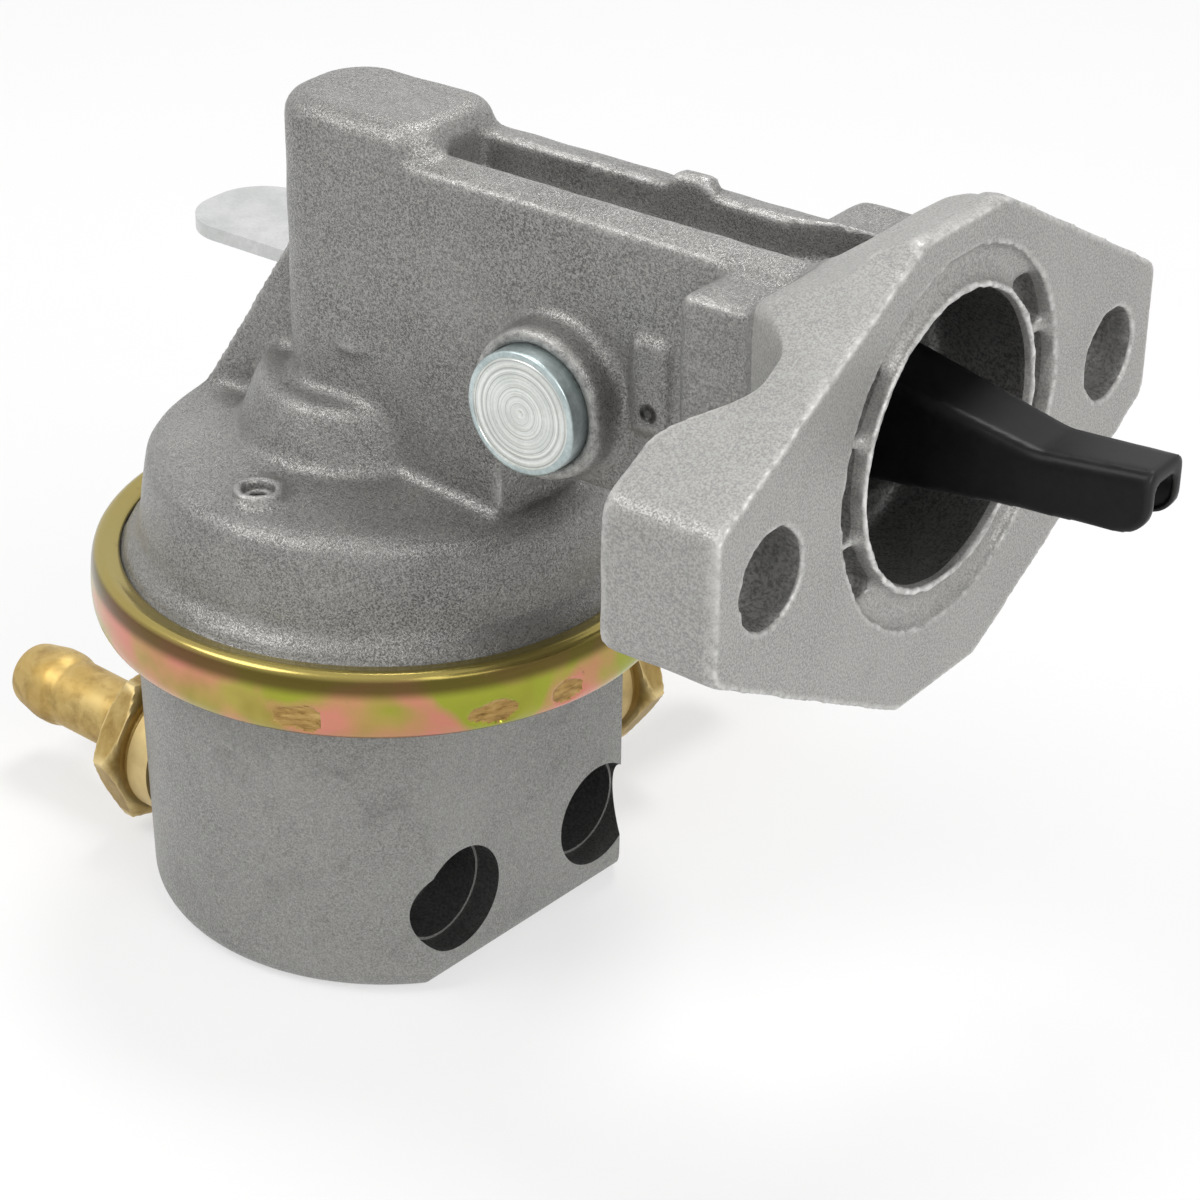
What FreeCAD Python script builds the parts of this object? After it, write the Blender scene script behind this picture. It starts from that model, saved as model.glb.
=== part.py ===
import FreeCAD, Part
import math
import os

import Sketcher

# Mechanical diaphragm fuel pump with a two-bolt flange, a rocker arm and a hand primer.
# The origin lies between the two bolts on the flange's front face: +X points out of the
# flange towards the engine and +Z is up, along the diaphragm's own axis.

# Every driving size, in millimetres.
SIZES = {
    # Mounting flange
    "bolt_spacing": 75.0,
    "bolt_hole_radius": 5.8,
    "flange_thickness": 16.0,
    "flange_half_length": 48.5,
    "flange_end_half_height": 9.0,
    "flange_half_height": 30.5,
    "flange_flat_half_width": 9.0,
    "flange_corner_radius": 4.0,
    "flange_edge_radius": 1.2,
    "flange_slope_start": -2.0,
    "flange_slope_end": 23.4,
    "bore_radius": 18.0,
    "bore_height": 2.6,
    "bore_depth": 14.0,
    "throat_end": -24.0,
    "throat_half_width": 12.0,
    "lip_width": 1.3,
    "groove_radius": 23.2,
    "groove_depth": 1.4,
    "groove_deep": 5.0,
    "groove_deep_half_height": 14.5,
    "groove_bridge": 1.3,
    "groove_bridge_height": 6.5,
    # Block between the flange and the neck
    "block_length": 11.5,
    "block_half_width": 19.0,
    "block_top": 20.5,
    "block_bottom": -15.0,
    "block_edge_radius": 3.0,
    # Neck
    "neck_half_width": 9.8,
    "neck_shoulder": 21.2,
    "neck_ridge": 22.2,
    "neck_ridge_half_width": 4.15,
    "neck_bottom": -14.5,
    "neck_edge_radius": 1.2,
    "top_pocket_depth": 6.0,
    "top_pocket_flare_start": 28.0,
    "top_pocket_flare_end": 19.0,
    "top_pocket_flare_width": 9.0,
    "ridge_block_length": 6.0,
    "ridge_block_height": 1.6,
    "ridge_block_width": 3.0,
    "ridge_block_from_pin": 6.0,
    # Pin and its boss
    "pin_x": -50.6,
    "pin_z": -2.7,
    "pin_radius": 5.0,
    "pin_head_radius": 8.15,
    "pin_head_proud": 2.4,
    "pin_head_depth": 1.6,
    "pin_head_edge_radius": 0.4,
    "pin_boss_radius": 10.2,
    "pin_boss_half_width": 15.2,
    "pin_boss_edge_radius": 1.5,
    # Spring tower
    "axis_x": -87.5,
    "tower_front": -73.0,
    "tower_rear": -99.6,
    "tower_rear_radius": 8.6,
    "tower_front_radius": 5.5,
    "tower_half_width": 9.8,
    "tower_top": 25.5,
    "tower_edge_radius": 3.4,
    "tower_bottom": -16.0,
    # Collar, pedestal and gusset
    "collar_radius": 14.6,
    "collar_foot_radius": 18.2,
    "collar_x": -90.4,
    "collar_top": -13.6,
    "collar_edge_radius": 2.5,
    "pedestal_front": -60.0,
    "gusset_thickness": 5.0,
    "gusset_top": 5.0,
    "gusset_foot_x": -118.6,
    # Dome
    "dome_top": -20.0,
    "dome_slope_drop": 3.4,
    "dome_shoulder_radius": 31.9,
    "dome_edge_radius": 3.5,
    "dome_foot_radius": 33.7,
    "rim_step": -35.6,
    "rim_flare": 2.1,
    "rim_flare_drop": 2.3,
    "rim_radius": 38.8,
    "rim_top": -39.3,
    "wall": 3.4,
    "cavity_roof_radius": 12.0,
    "cavity_foot_wall": 2.9,
    "vent_radius": 2.0,
    "vent_rim_radius": 3.5,
    "vent_rim_height": 0.6,
    "vent_x": -88.0,
    "vent_y": -24.5,
    # Clamped joint
    "clamp_z": -42.4,
    "diaphragm_thickness": 1.2,
    "diaphragm_inset": 0.2,
    "lower_rim_height": 2.8,
    "ring_bulge": 0.1,
    "ring_sheet": 1.2,
    "ring_upper_lip": 2.9,
    "ring_gap": 0.2,
    "ring_lower_lip": 2.2,
    # Lower housing
    "lower_turn": -4.0,
    "base_z": -91.5,
    "lower_top_radius": 34.6,
    "lower_base_radius": 33.8,
    "lower_edge_radius": 3.8,
    "flat_edge_radius": 4.6,
    "lower_flare": 1.6,
    "lower_flare_drop": 2.0,
    "flat_side_drop": 0.6,
    "flat_from_axis": 27.5,
    "corner_flat_near_y": 18.2,
    "corner_flat_far_x": 4.0,
    "corner_flat_far_y": 35.0,
    "blind_hole_radius": 7.7,
    "blind_hole_step_radius": 7.3,
    "blind_hole_depth": 4.0,
    "blind_hole_step_depth": 11.0,
    "blind_hole_near_y": -15.0,
    "blind_hole_far_y": 13.2,
    "dish_depth": 5.5,
    "dish_floor_radius": 26.0,
    "dish_mouth_radius": 30.5,
    # Ports, valves and their pockets
    "inlet_y": -13.8,
    "inlet_valve_x": -96.0,
    "port_z": -78.5,
    "outlet_x": -83.0,
    "outlet_z": -74.0,
    "outlet_valve_y": 13.0,
    "pocket_radius": 8.5,
    "pocket_depth": 9.0,
    "passage_radius": 4.0,
    "spot_face_radius": 10.4,
    "spot_face_from_axis": 26.0,
    "spot_face_reach": 10.0,
    "thread_run_out": 0.5,
    "thread_radius": 6.0,
    "thread_length": 7.0,
    "thread_clearance": 0.05,
    "seat_thickness": 2.0,
    "seat_lip": 0.5,
    "seat_lip_width": 1.0,
    "seat_bore_radius": 4.0,
    "valve_disc_radius": 5.6,
    "valve_disc_thickness": 1.0,
    "valve_gap": 0.15,
    "valve_spring_radius": 3.4,
    "valve_wire_radius": 0.35,
    "retainer_thickness": 1.0,
    "retainer_hole_radius": 1.5,
    "retainer_hole_circle": 5.6,
    # Hose fittings
    "neck_fitting_radius": 9.5,
    "hexagon_across_flats": 21.3,
    "hexagon_thickness": 4.45,
    "hexagon_turn": 5.35,
    "hexagon_clearance": 0.3,
    "inlet_hexagon_from_axis": 35.4,
    "outlet_hexagon_from_axis": 42.0,
    "barb_length": 26.1,
    "barb_radius": 5.2,
    "barb_ridge_radius": 5.75,
    "barb_land": 1.6,
    "barb_nose": 5.6,
    "barb_taper": 2.4,
    "barb_mouth_radius": 4.9,
    "barb_mouth_length": 1.2,
    "barb_tip_radius": 3.9,
    "barb_bore_radius": 3.2,
    # Rocker arm
    "arm_tip": 27.6,
    "arm_sheet": 2.2,
    "arm_tip_top": 8.1,
    "arm_tip_bottom": 0.1,
    "arm_bend_top": 6.8,
    "arm_crest_x": -9.0,
    "arm_crest": 11.2,
    "arm_crest_end": -57.6,
    "arm_tail_top": 5.5,
    "arm_tail_start": -65.6,
    "arm_tail_bottom": 0.6,
    "arm_heel": -3.2,
    "arm_belly": -8.0,
    "arm_belly_half_length": 9.0,
    "arm_throat_x": -20.0,
    "arm_throat_bottom": -5.0,
    "arm_neck_x": -7.0,
    "arm_neck_bottom": -2.6,
    "arm_nose_x": 10.0,
    "arm_nose_bottom": -0.9,
    "arm_tip_half_width": 4.0,
    "arm_bend_x": 13.0,
    "arm_half_width": 5.4,
    "arm_waist_x": -26.0,
    "arm_waist_end": -17.0,
    "arm_shoulder_half_width": 7.4,
    "arm_tail": -83.2,
    "arm_tip_corner_radius": 3.6,
    "arm_edge_radius": 1.6,
    "arm_bend_radius": 8.0,
    "arm_wide_x": -26.0,
    "arm_wide_half_width": 6.9,
    "arm_plan_height": 40.0,
    "arm_hub_radius": 7.0,
    "pin_clearance": 0.05,
    # Inside of the upper housing
    "cavity_half_width": 6.8,
    "cavity_top": 12.9,
    "cavity_bottom": -11.2,
    "tower_cavity_radius": 6.8,
    "tower_cavity_top": 22.2,
    "tower_cavity_bottom": -12.6,
    "tower_cavity_front": -75.2,
    # Link lever and pull rod
    "link_half_width": 3.0,
    "link_hub_radius": 6.4,
    "link_top": 1.2,
    "link_bottom": -4.0,
    "link_bar_end": -81.5,
    "fork_half_width": 5.0,
    "fork_top": -1.0,
    "fork_thickness": 2.6,
    "fork_end": -91.6,
    "fork_root": -79.5,
    "rod_head_room": 1.0,
    "rod_head_room_height": 6.0,
    "fork_slot_half_width": 2.8,
    "rod_radius": 2.5,
    "rod_head_radius": 3.7,
    "rod_head_height": 2.0,
    "rod_head_taper": 0.9,
    "fork_clearance": 0.35,
    "plate_radius": 20.0,
    "plate_thickness": 1.2,
    "plate_rim": 2.4,
    "nut_across_flats": 8.0,
    "nut_height": 3.0,
    "rod_end_proud": 0.6,
    "rod_hole_clearance": 1.0,
    # Seal
    "seal_radius": 6.0,
    "seal_height": 5.0,
    "seal_clearance": 0.05,
    "retainer_cup_radius": 11.6,
    "retainer_cup_clearance": 0.6,
    "retainer_cup_sheet": 0.8,
    # Springs
    "diaphragm_spring_radius": 10.5,
    "diaphragm_wire_radius": 0.9,
    "rocker_spring_x": -79.4,
    "rocker_spring_radius": 3.4,
    "rocker_wire_radius": 0.6,
    "spring_gap": 0.3,
    "rocker_spring_foot": 5.5,
    "primer_spring_clearance": 0.3,
    "primer_spring_pitch": 1.32,
    # Hand primer
    "primer_x": -72.0,
    "primer_z": -9.2,
    "primer_shaft_radius": 3.0,
    "primer_boss_radius": 6.5,
    "primer_boss_end": 15.5,
    "primer_sheet": 2.0,
    "primer_lever_y": 18.6,
    "primer_eye_radius": 6.5,
    "primer_tab_start": -104.0,
    "primer_tab_end": -128.0,
    "primer_tab_inner": 3.2,
    "primer_tab_top": -3.0,
    "primer_tab_corner": 7.6,
    "primer_arm_height": 9.0,
    "primer_strip_end": -114.0,
    "primer_strip_drop": 4.4,
    "primer_shaft_proud": 0.8,
    "primer_shaft_inner": -5.5,
    "primer_hole_inner": -6.0,
    "primer_cam_flat": 1.2,
    "primer_flat_end": 6.2,
    "washer_radius": 8.0,
    "side_clearance": 0.1,
}

doc = FreeCAD.newDocument("FuelPump")
sheet = doc.addObject("Spreadsheet::Sheet", "Sizes")
for row, (alias, number) in enumerate(SIZES.items(), start=1):
    sheet.set(f"A{row}", alias)
    sheet.set(f"B{row}", str(number))
    sheet.setAlias(f"B{row}", alias)
doc.recompute()


class Size:
    """A length with both its number and the expression that works it out from the sheet."""

    def __init__(self, number, text):
        self.number = number
        self.text = text

    def __add__(self, other):
        other = as_size(other)
        return Size(self.number + other.number, f"({self.text} + {other.text})")

    def __sub__(self, other):
        other = as_size(other)
        return Size(self.number - other.number, f"({self.text} - {other.text})")

    def __mul__(self, other):
        other = as_size(other)
        return Size(self.number * other.number, f"({self.text} * {other.text})")

    def __truediv__(self, other):
        other = as_size(other)
        return Size(self.number / other.number, f"({self.text} / {other.text})")

    def __neg__(self):
        return Size(-self.number, f"(-1 * {self.text})")

    def __radd__(self, other):
        return as_size(other) + self

    def __rsub__(self, other):
        return as_size(other) - self

    def __rmul__(self, other):
        return as_size(other) * self


class NamedSizes:
    """Gives each cell of the sheet as a Size."""

    def __getattr__(self, alias):
        return Size(SIZES[alias], "Sizes." + alias)


def as_size(value):
    return value if isinstance(value, Size) else Size(value, f"{value:.6g}")


def root(size):
    return Size(math.sqrt(size.number), f"sqrt({size.text})")


s = NamedSizes()

TURNS = {
    "Z": FreeCAD.Rotation(),
    "-Z": FreeCAD.Rotation(FreeCAD.Vector(1, 0, 0), 180),
    "X": FreeCAD.Rotation(FreeCAD.Vector(0, 1, 0), 90),
    "-X": FreeCAD.Rotation(FreeCAD.Vector(0, 0, 1), -90) * FreeCAD.Rotation(FreeCAD.Vector(1, 0, 0), 90),
    "Y": FreeCAD.Rotation(FreeCAD.Vector(1, 0, 0), -90),
    "-Y": FreeCAD.Rotation(FreeCAD.Vector(1, 0, 0), 90),
}


def bind(item, name, size):
    """Ties one property to the sheet."""
    item.setExpression(name, as_size(size).text)


def place(item, at, along="Z"):
    """Puts an item's origin at a point and turns its own Z axis along a direction."""
    item.Placement = FreeCAD.Placement(FreeCAD.Vector(), TURNS[along])
    for name, coordinate in zip("xyz", at):
        bind(item, f"Placement.Base.{name}", coordinate)
    return item


def cylinder(name, radius, length, at, along="Z"):
    item = doc.addObject("Part::Cylinder", name)
    bind(item, "Radius", radius)
    bind(item, "Height", length)
    return place(item, at, along)


def box(name, low, high):
    item = doc.addObject("Part::Box", name)
    for side, start, end in zip(("Length", "Width", "Height"), low, high):
        bind(item, side, as_size(end) - start)
    return place(item, low)


def hexagon(name, across_flats, height, at, along="Z", turn=0):
    """A hexagonal prism, turned about its own axis by some degrees."""
    item = doc.addObject("Part::Prism", name)
    item.Polygon = 6
    bind(item, "Circumradius", across_flats / root(as_size(3)))
    bind(item, "Height", height)
    place(item, at, along)
    item.Placement.Rotation = TURNS[along] * FreeCAD.Rotation(FreeCAD.Vector(0, 0, 1), turn)
    return item


def outline(body, role, corners):
    """A closed sketch of straight sides on one of the body's own origin planes."""
    sketch = body.newObject("Sketcher::SketchObject", body.Name + "_outline")
    plane = next(feature for feature in body.Origin.OriginFeatures if feature.Role == role)
    sketch.AttachmentSupport = [(plane, "")]
    sketch.MapMode = "FlatFace"
    points = [FreeCAD.Vector(as_size(u).number, as_size(v).number, 0) for u, v in corners]
    count = len(points)
    for k in range(count):
        sketch.addGeometry(Part.LineSegment(points[k], points[(k + 1) % count]))
    for k in range(count):
        sketch.addConstraint(Sketcher.Constraint("Coincident", k, 2, (k + 1) % count, 1))
    for k, corner in enumerate(corners):
        for kind, coordinate in zip(("DistanceX", "DistanceY"), corner):
            size = as_size(coordinate)
            index = sketch.addConstraint(Sketcher.Constraint(kind, k, 1, size.number))
            if "Sizes" in size.text:
                sketch.setExpression(f"Constraints[{index}]", size.text)
    return sketch


def padded(name, role, corners, length, at=(0, 0, 0)):
    """A body that is one outline, padded along its plane's normal."""
    body = doc.addObject("PartDesign::Body", name)
    sketch = outline(body, role, corners)
    pad = body.newObject("PartDesign::Pad", name + "_pad")
    pad.Profile = sketch
    bind(pad, "Length", length)
    body.Tip = pad
    return place(body, at)


def turned(name, corners, at, along="Z"):
    """A body that is one half section, given as radius and height, turned about its axis."""
    body = doc.addObject("PartDesign::Body", name)
    sketch = outline(body, "XZ_Plane", corners)
    feature = body.newObject("PartDesign::Revolution", name + "_turned")
    feature.Profile = sketch
    feature.ReferenceAxis = (sketch, ["V_Axis"])
    feature.Angle = 360
    body.Tip = feature
    return place(body, at, along)


def round_edges(body, radius, chosen):
    """Fillets the edges of a body's last feature that the test picks out."""
    doc.recompute()
    base = body.Tip
    names = [f"Edge{k}" for k, edge in enumerate(base.Shape.Edges, start=1) if chosen(edge)]
    fillet = body.newObject("PartDesign::Fillet", f"{base.Name}_fillet")
    fillet.Base = (base, names)
    bind(fillet, "Radius", radius)
    body.Tip = fillet
    return body


def softened(name, base, radius, chosen):
    """Fillets the edges of any item that the test picks out."""
    doc.recompute()
    numbers = [k for k, edge in enumerate(base.Shape.Edges, start=1) if chosen(edge)]
    item = doc.addObject("Part::Fillet", name)
    item.Base = base
    item.Edges = [(k, radius.number, radius.number) for k in numbers]
    return item


def union(name, *items):
    item = doc.addObject("Part::MultiFuse", name)
    item.Shapes = list(items)
    item.Refine = True
    return item


def cut(name, base, *tools):
    item = doc.addObject("Part::Cut", name)
    item.Base = base
    item.Tool = tools[0] if len(tools) == 1 else union(name + "_tools", *tools)
    item.Refine = True
    return item


def common(name, first, second):
    item = doc.addObject("Part::Common", name)
    item.Base = first
    item.Tool = second
    item.Refine = True
    return item


def spring(name, coil_radius, wire_radius, length, pitch, at, along="Z"):
    """A coil of wire, whose eight-sided section keeps its mesh light and true."""
    helix = doc.addObject("Part::Helix", name + "_path")
    bind(helix, "Radius", coil_radius)
    bind(helix, "Height", length - wire_radius * 2)
    bind(helix, "Pitch", pitch)
    wire = doc.addObject("Part::RegularPolygon", name + "_wire")
    wire.Polygon = 8
    bind(wire, "Circumradius", wire_radius)
    place(wire, (coil_radius, 0, 0), "Y")
    coil = doc.addObject("Part::Sweep", name)
    coil.Sections = [wire]
    coil.Spine = (helix, ["Edge1"])
    coil.Solid = True
    coil.Frenet = True
    return place(coil, at, along)


def standing_spring(name, coil_radius, wire_radius, low, high, turns, x, y):
    """An upright coil between two heights."""
    length = high - low
    pitch = (length - wire_radius * 2) / turns
    return spring(name, coil_radius, wire_radius, length, pitch, (x, y, low + wire_radius))


def is_along(edge, direction):
    """True for a straight edge along X, Y or Z."""
    if not isinstance(edge.Curve, Part.Line):
        return False
    return abs(edge.Curve.Direction.dot(direction)) > 0.999


def is_ring(edge, radius, height):
    """True for a full circle of one radius at one height along its body's axis."""
    if not isinstance(edge.Curve, Part.Circle):
        return False
    near = abs(edge.Curve.Center.z - height.number) < 0.01
    return near and abs(edge.Curve.Radius - radius.number) < 0.01


ALONG_X = FreeCAD.Vector(1, 0, 0)
ALONG_Y = FreeCAD.Vector(0, 1, 0)
ALONG_Z = FreeCAD.Vector(0, 0, 1)


def turn_lower(item):
    """Turns an item that was built square about the diaphragm's axis, with the lower housing."""
    angle = math.radians(SIZES["lower_turn"])
    item.Placement = FreeCAD.Placement(FreeCAD.Vector(), FreeCAD.Rotation(ALONG_Z, SIZES["lower_turn"]))
    bind(item, "Placement.Base.x", s.axis_x * (1 - math.cos(angle)))
    bind(item, "Placement.Base.y", s.axis_x * -math.sin(angle))
    return item


def turned_point(x, y):
    """The same turn for a point."""
    angle = math.radians(SIZES["lower_turn"])
    out = x - s.axis_x
    return (
        s.axis_x + out * math.cos(angle) - y * math.sin(angle), out * math.sin(angle) + y * math.cos(angle)
    )


def flange_plate():
    """The oblong plate with two bolt ends."""
    half_length = s.flange_half_length
    end = s.flange_end_half_height
    top = s.flange_half_height
    flat = s.flange_flat_half_width
    corners = [
        (-half_length, -end), (-flat, -top), (flat, -top), (half_length, -end),
        (half_length, end), (flat, top), (-flat, top), (-half_length, end),
    ]
    plate = padded("flange_blank", "YZ_Plane", corners, s.flange_thickness, (-s.flange_thickness, 0, 0))
    round_edges(plate, s.flange_corner_radius, lambda edge: is_along(edge, ALONG_X))
    round_edges(plate, s.flange_edge_radius, lambda edge: abs(edge.CenterOfMass.x) < 0.01)
    beyond = s.flange_thickness + 1
    fall = (s.flange_half_height - s.flange_slope_end) / (s.flange_slope_start + s.flange_thickness)
    slope = padded(
        "flange_slope",
        "XZ_Plane",
        [
            (s.flange_slope_start, s.flange_half_height), (s.flange_slope_start, s.flange_half_height + 1),
            (-beyond, s.flange_half_height + 1), (-beyond, s.flange_slope_end - fall),
        ],
        s.flange_half_length * 2,
        (0, s.flange_half_length, 0),
    )
    return cut("flange_plate", plate, slope)


def groove():
    """The oil groove round the bore: shallow all the way, deep at both sides between bridges."""
    centre = (0, 0, s.bore_height)
    inner = s.bore_radius + s.lip_width
    corners = [(inner, 0), (s.groove_radius, 0), (s.groove_radius, s.groove_depth), (inner, s.groove_depth)]
    shallow = turned("groove_shallow", corners, centre, "-X")
    deep = turned(
        "groove_deep_ring",
        [(inner, 0), (s.groove_radius, 0), (s.groove_radius, s.groove_deep), (inner, s.groove_deep)],
        centre,
        "-X",
    )
    half = s.groove_deep_half_height
    band = box(
        "groove_band",
        (-s.groove_deep, -s.groove_radius, s.bore_height - half),
        (0, s.groove_radius, s.bore_height + half),
    )
    bridges = [
        box(
            f"groove_bridge_{index}",
            (-s.groove_deep, -s.groove_radius - 1, s.bore_height + level - s.groove_bridge / 2),
            (-s.groove_depth, s.groove_radius + 1, s.bore_height + level + s.groove_bridge / 2),
        )
        for index, level in enumerate((s.groove_bridge_height, -s.groove_bridge_height))
    ]
    sides = cut("groove_sides", common("groove_deep_band", deep, band), *bridges)
    return union("groove", shallow, sides)


def tower():
    """The spring tower: rounded in plan, with soft upper edges."""
    half = s.tower_half_width
    plan = padded(
        "tower_plan",
        "XY_Plane",
        [
            (s.tower_rear, -half), (s.tower_front, -half), (s.tower_front, half), (s.tower_rear, half),
        ],
        s.tower_top - s.tower_bottom,
        (0, 0, s.tower_bottom),
    )
    for end, radius in ((s.tower_rear, s.tower_rear_radius), (s.tower_front, s.tower_front_radius)):
        round_edges(
            plan,
            radius,
            lambda edge: is_along(edge, ALONG_Z) and abs(edge.CenterOfMass.x - end.number) < 0.01,
        )
    low = s.neck_shoulder.number
    return round_edges(plan, s.tower_edge_radius, lambda edge: edge.BoundBox.ZMin > low)


def neck():
    """The slab between tower and flange, with a pitched top."""
    half = s.neck_half_width
    ridge = s.neck_ridge_half_width
    length = -s.flange_thickness - s.axis_x
    slab = padded(
        "neck",
        "YZ_Plane",
        [
            (-half, s.neck_bottom), (half, s.neck_bottom), (half, s.neck_shoulder),
            (ridge, s.neck_ridge), (-ridge, s.neck_ridge), (-half, s.neck_shoulder),
        ],
        length,
        (s.axis_x, 0, 0),
    )
    shoulder = s.neck_half_width.number - 0.01
    return round_edges(
        slab,
        s.neck_edge_radius,
        lambda edge: is_along(edge, ALONG_X) and abs(edge.CenterOfMass.y) > shoulder,
    )


def top_pocket():
    """The open channel along the neck's top, which flares on the far side by the flange."""
    ridge = s.neck_ridge_half_width
    return padded(
        "top_pocket",
        "XY_Plane",
        [
            (s.tower_front, -ridge), (-s.flange_thickness, -ridge),
            (-s.flange_thickness, s.top_pocket_flare_width),
            (-s.top_pocket_flare_end, s.top_pocket_flare_width),
            (-s.top_pocket_flare_start, ridge), (s.tower_front, ridge),
        ],
        s.top_pocket_depth + 5,
        (0, 0, s.neck_ridge - s.top_pocket_depth),
    )


def dome():
    """The round cover over the diaphragm, with its clamped rim."""
    body = turned(
        "dome",
        [
            (0, s.dome_top), (s.dome_shoulder_radius, s.dome_top - s.dome_slope_drop),
            (s.dome_foot_radius, s.rim_step),
            (s.dome_foot_radius + s.rim_flare, s.rim_step - s.rim_flare_drop),
            (s.dome_foot_radius + s.rim_flare, s.rim_top), (s.rim_radius, s.rim_top),
            (s.rim_radius, s.clamp_z), (0, s.clamp_z),
        ],
        (s.axis_x, 0, 0),
    )
    shoulder = s.dome_top - s.dome_slope_drop
    return round_edges(
        body, s.dome_edge_radius, lambda edge: is_ring(edge, s.dome_shoulder_radius, shoulder)
    )


def dome_cavity():
    shoulder = s.dome_top - s.dome_slope_drop - s.wall
    return turned(
        "dome_cavity",
        [
            (0, s.dome_top - s.wall), (s.cavity_roof_radius, s.dome_top - s.wall),
            (s.dome_shoulder_radius - s.wall, shoulder),
            (s.dome_foot_radius - s.cavity_foot_wall, s.clamp_z), (0, s.clamp_z),
        ],
        (s.axis_x, 0, 0),
    )


def upper_housing():
    """The whole upper casting."""
    block = box(
        "flange_block",
        (-s.flange_thickness - s.block_length, -s.block_half_width, s.block_bottom),
        (-s.flange_thickness + 1, s.block_half_width, s.block_top),
    )
    back_face = (-s.flange_thickness - s.block_length).number
    block = softened(
        "flange_block_soft",
        block,
        s.block_edge_radius,
        lambda edge: abs(edge.CenterOfMass.x - back_face) < 0.01,
    )
    boss = turned(
        "pin_boss",
        [
            (0, 0), (s.pin_boss_radius, 0), (s.pin_boss_radius, s.pin_boss_half_width * 2),
            (0, s.pin_boss_half_width * 2),
        ],
        (s.pin_x, -s.pin_boss_half_width, s.pin_z),
        "Y",
    )
    round_edges(
        boss,
        s.pin_boss_edge_radius,
        lambda edge: is_ring(edge, s.pin_boss_radius, as_size(0))
        or is_ring(edge, s.pin_boss_radius, s.pin_boss_half_width * 2),
    )
    pedestal = box(
        "pedestal",
        (s.axis_x, -s.neck_half_width, s.dome_top - s.dome_slope_drop),
        (s.pedestal_front, s.neck_half_width, s.neck_bottom + 1),
    )
    collar = turned(
        "collar",
        [
            (0, s.dome_top - s.dome_slope_drop),
            (s.collar_foot_radius, s.dome_top - s.dome_slope_drop),
            (s.collar_radius, s.collar_top), (0, s.collar_top),
        ],
        (s.collar_x, 0, 0),
    )
    round_edges(collar, s.collar_edge_radius, lambda edge: is_ring(edge, s.collar_radius, s.collar_top))
    gusset_foot = s.dome_top - s.dome_slope_drop - 1
    gusset = padded(
        "gusset",
        "XZ_Plane",
        [
            (s.axis_x, s.gusset_top), (s.tower_rear, s.gusset_top),
            (s.gusset_foot_x, gusset_foot), (s.axis_x, gusset_foot),
        ],
        s.gusset_thickness,
        (0, s.gusset_thickness / 2, 0),
    )
    primer_boss = cylinder(
        "primer_boss", s.primer_boss_radius, s.primer_boss_end, (s.primer_x, 0, s.primer_z), "Y"
    )
    ridge_start = s.pin_x + s.ridge_block_from_pin
    ridge_block = box(
        "ridge_block",
        (ridge_start, s.neck_ridge_half_width, s.neck_ridge - 2),
        (
            ridge_start + s.ridge_block_length,
            s.neck_ridge_half_width + s.ridge_block_width,
            s.neck_ridge + s.ridge_block_height,
        ),
    )
    vent_z = s.dome_top - s.dome_slope_drop
    vent_rim = cylinder(
        "vent_rim",
        s.vent_rim_radius,
        s.vent_rim_height + s.wall / 2 + 1,
        (s.vent_x, s.vent_y, vent_z + s.vent_rim_height / 2 - s.wall / 2),
    )
    outside = union(
        "casting",
        flange_plate(), block, neck(), boss, tower(), pedestal, collar, dome(), gusset, primer_boss,
        ridge_block, vent_rim,
    )
    bore = cylinder("bore", s.bore_radius, s.bore_depth, (0, 0, s.bore_height), "-X")
    bolt_holes = [
        cylinder(
            f"bolt_hole_{index}",
            s.bolt_hole_radius,
            s.flange_thickness + 2,
            (1, side * s.bolt_spacing / 2, 0),
            "-X",
        )
        for index, side in enumerate((-1, 1))
    ]
    throat = box(
        "throat",
        (s.throat_end, -s.throat_half_width, s.cavity_bottom),
        (-s.bore_depth + 1, s.throat_half_width, s.cavity_top),
    )
    channel = box(
        "cavity_channel",
        (s.axis_x, -s.cavity_half_width, s.cavity_bottom),
        (s.throat_end + 1, s.cavity_half_width, s.cavity_top),
    )
    well = cylinder(
        "cavity_well",
        s.tower_cavity_radius,
        s.tower_cavity_top - s.tower_cavity_bottom,
        (s.axis_x, 0, s.tower_cavity_bottom),
    )
    well_front = box(
        "cavity_well_front",
        (s.axis_x, -s.cavity_half_width, s.tower_cavity_bottom),
        (s.tower_cavity_front, s.cavity_half_width, s.tower_cavity_top),
    )
    rod_hole = cylinder(
        "rod_hole", s.rod_radius + s.rod_hole_clearance, s.tower_cavity_bottom - s.dome_top + s.wall + 2,
        (s.axis_x, 0, s.dome_top - s.wall - 1),
    )
    seal_pocket = cylinder(
        "seal_pocket", s.seal_radius, s.seal_height + 1, (s.axis_x, 0, s.dome_top - s.wall - 1)
    )
    pin_hole = cylinder(
        "pin_hole", s.pin_radius, s.pin_boss_half_width * 2 - s.wall,
        (s.pin_x, -s.pin_boss_half_width, s.pin_z), "Y",
    )
    pin_counterbore = cylinder(
        "pin_counterbore", s.pin_head_radius, s.pin_head_depth,
        (s.pin_x, -s.pin_boss_half_width, s.pin_z), "Y",
    )
    primer_hole = cylinder(
        "primer_hole", s.primer_shaft_radius + s.pin_clearance,
        s.primer_boss_end + 1 - s.primer_hole_inner, (s.primer_x, s.primer_hole_inner, s.primer_z), "Y",
    )
    vent = cylinder("vent", s.vent_radius, s.wall * 3, (s.vent_x, s.vent_y, vent_z - s.wall * 2))
    return cut(
        "upper_housing",
        outside,
        bore, groove(), *bolt_holes, throat, channel, well, well_front, rod_hole, seal_pocket, pin_hole,
        pin_counterbore, primer_hole, vent, dome_cavity(), top_pocket(),
    )


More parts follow.
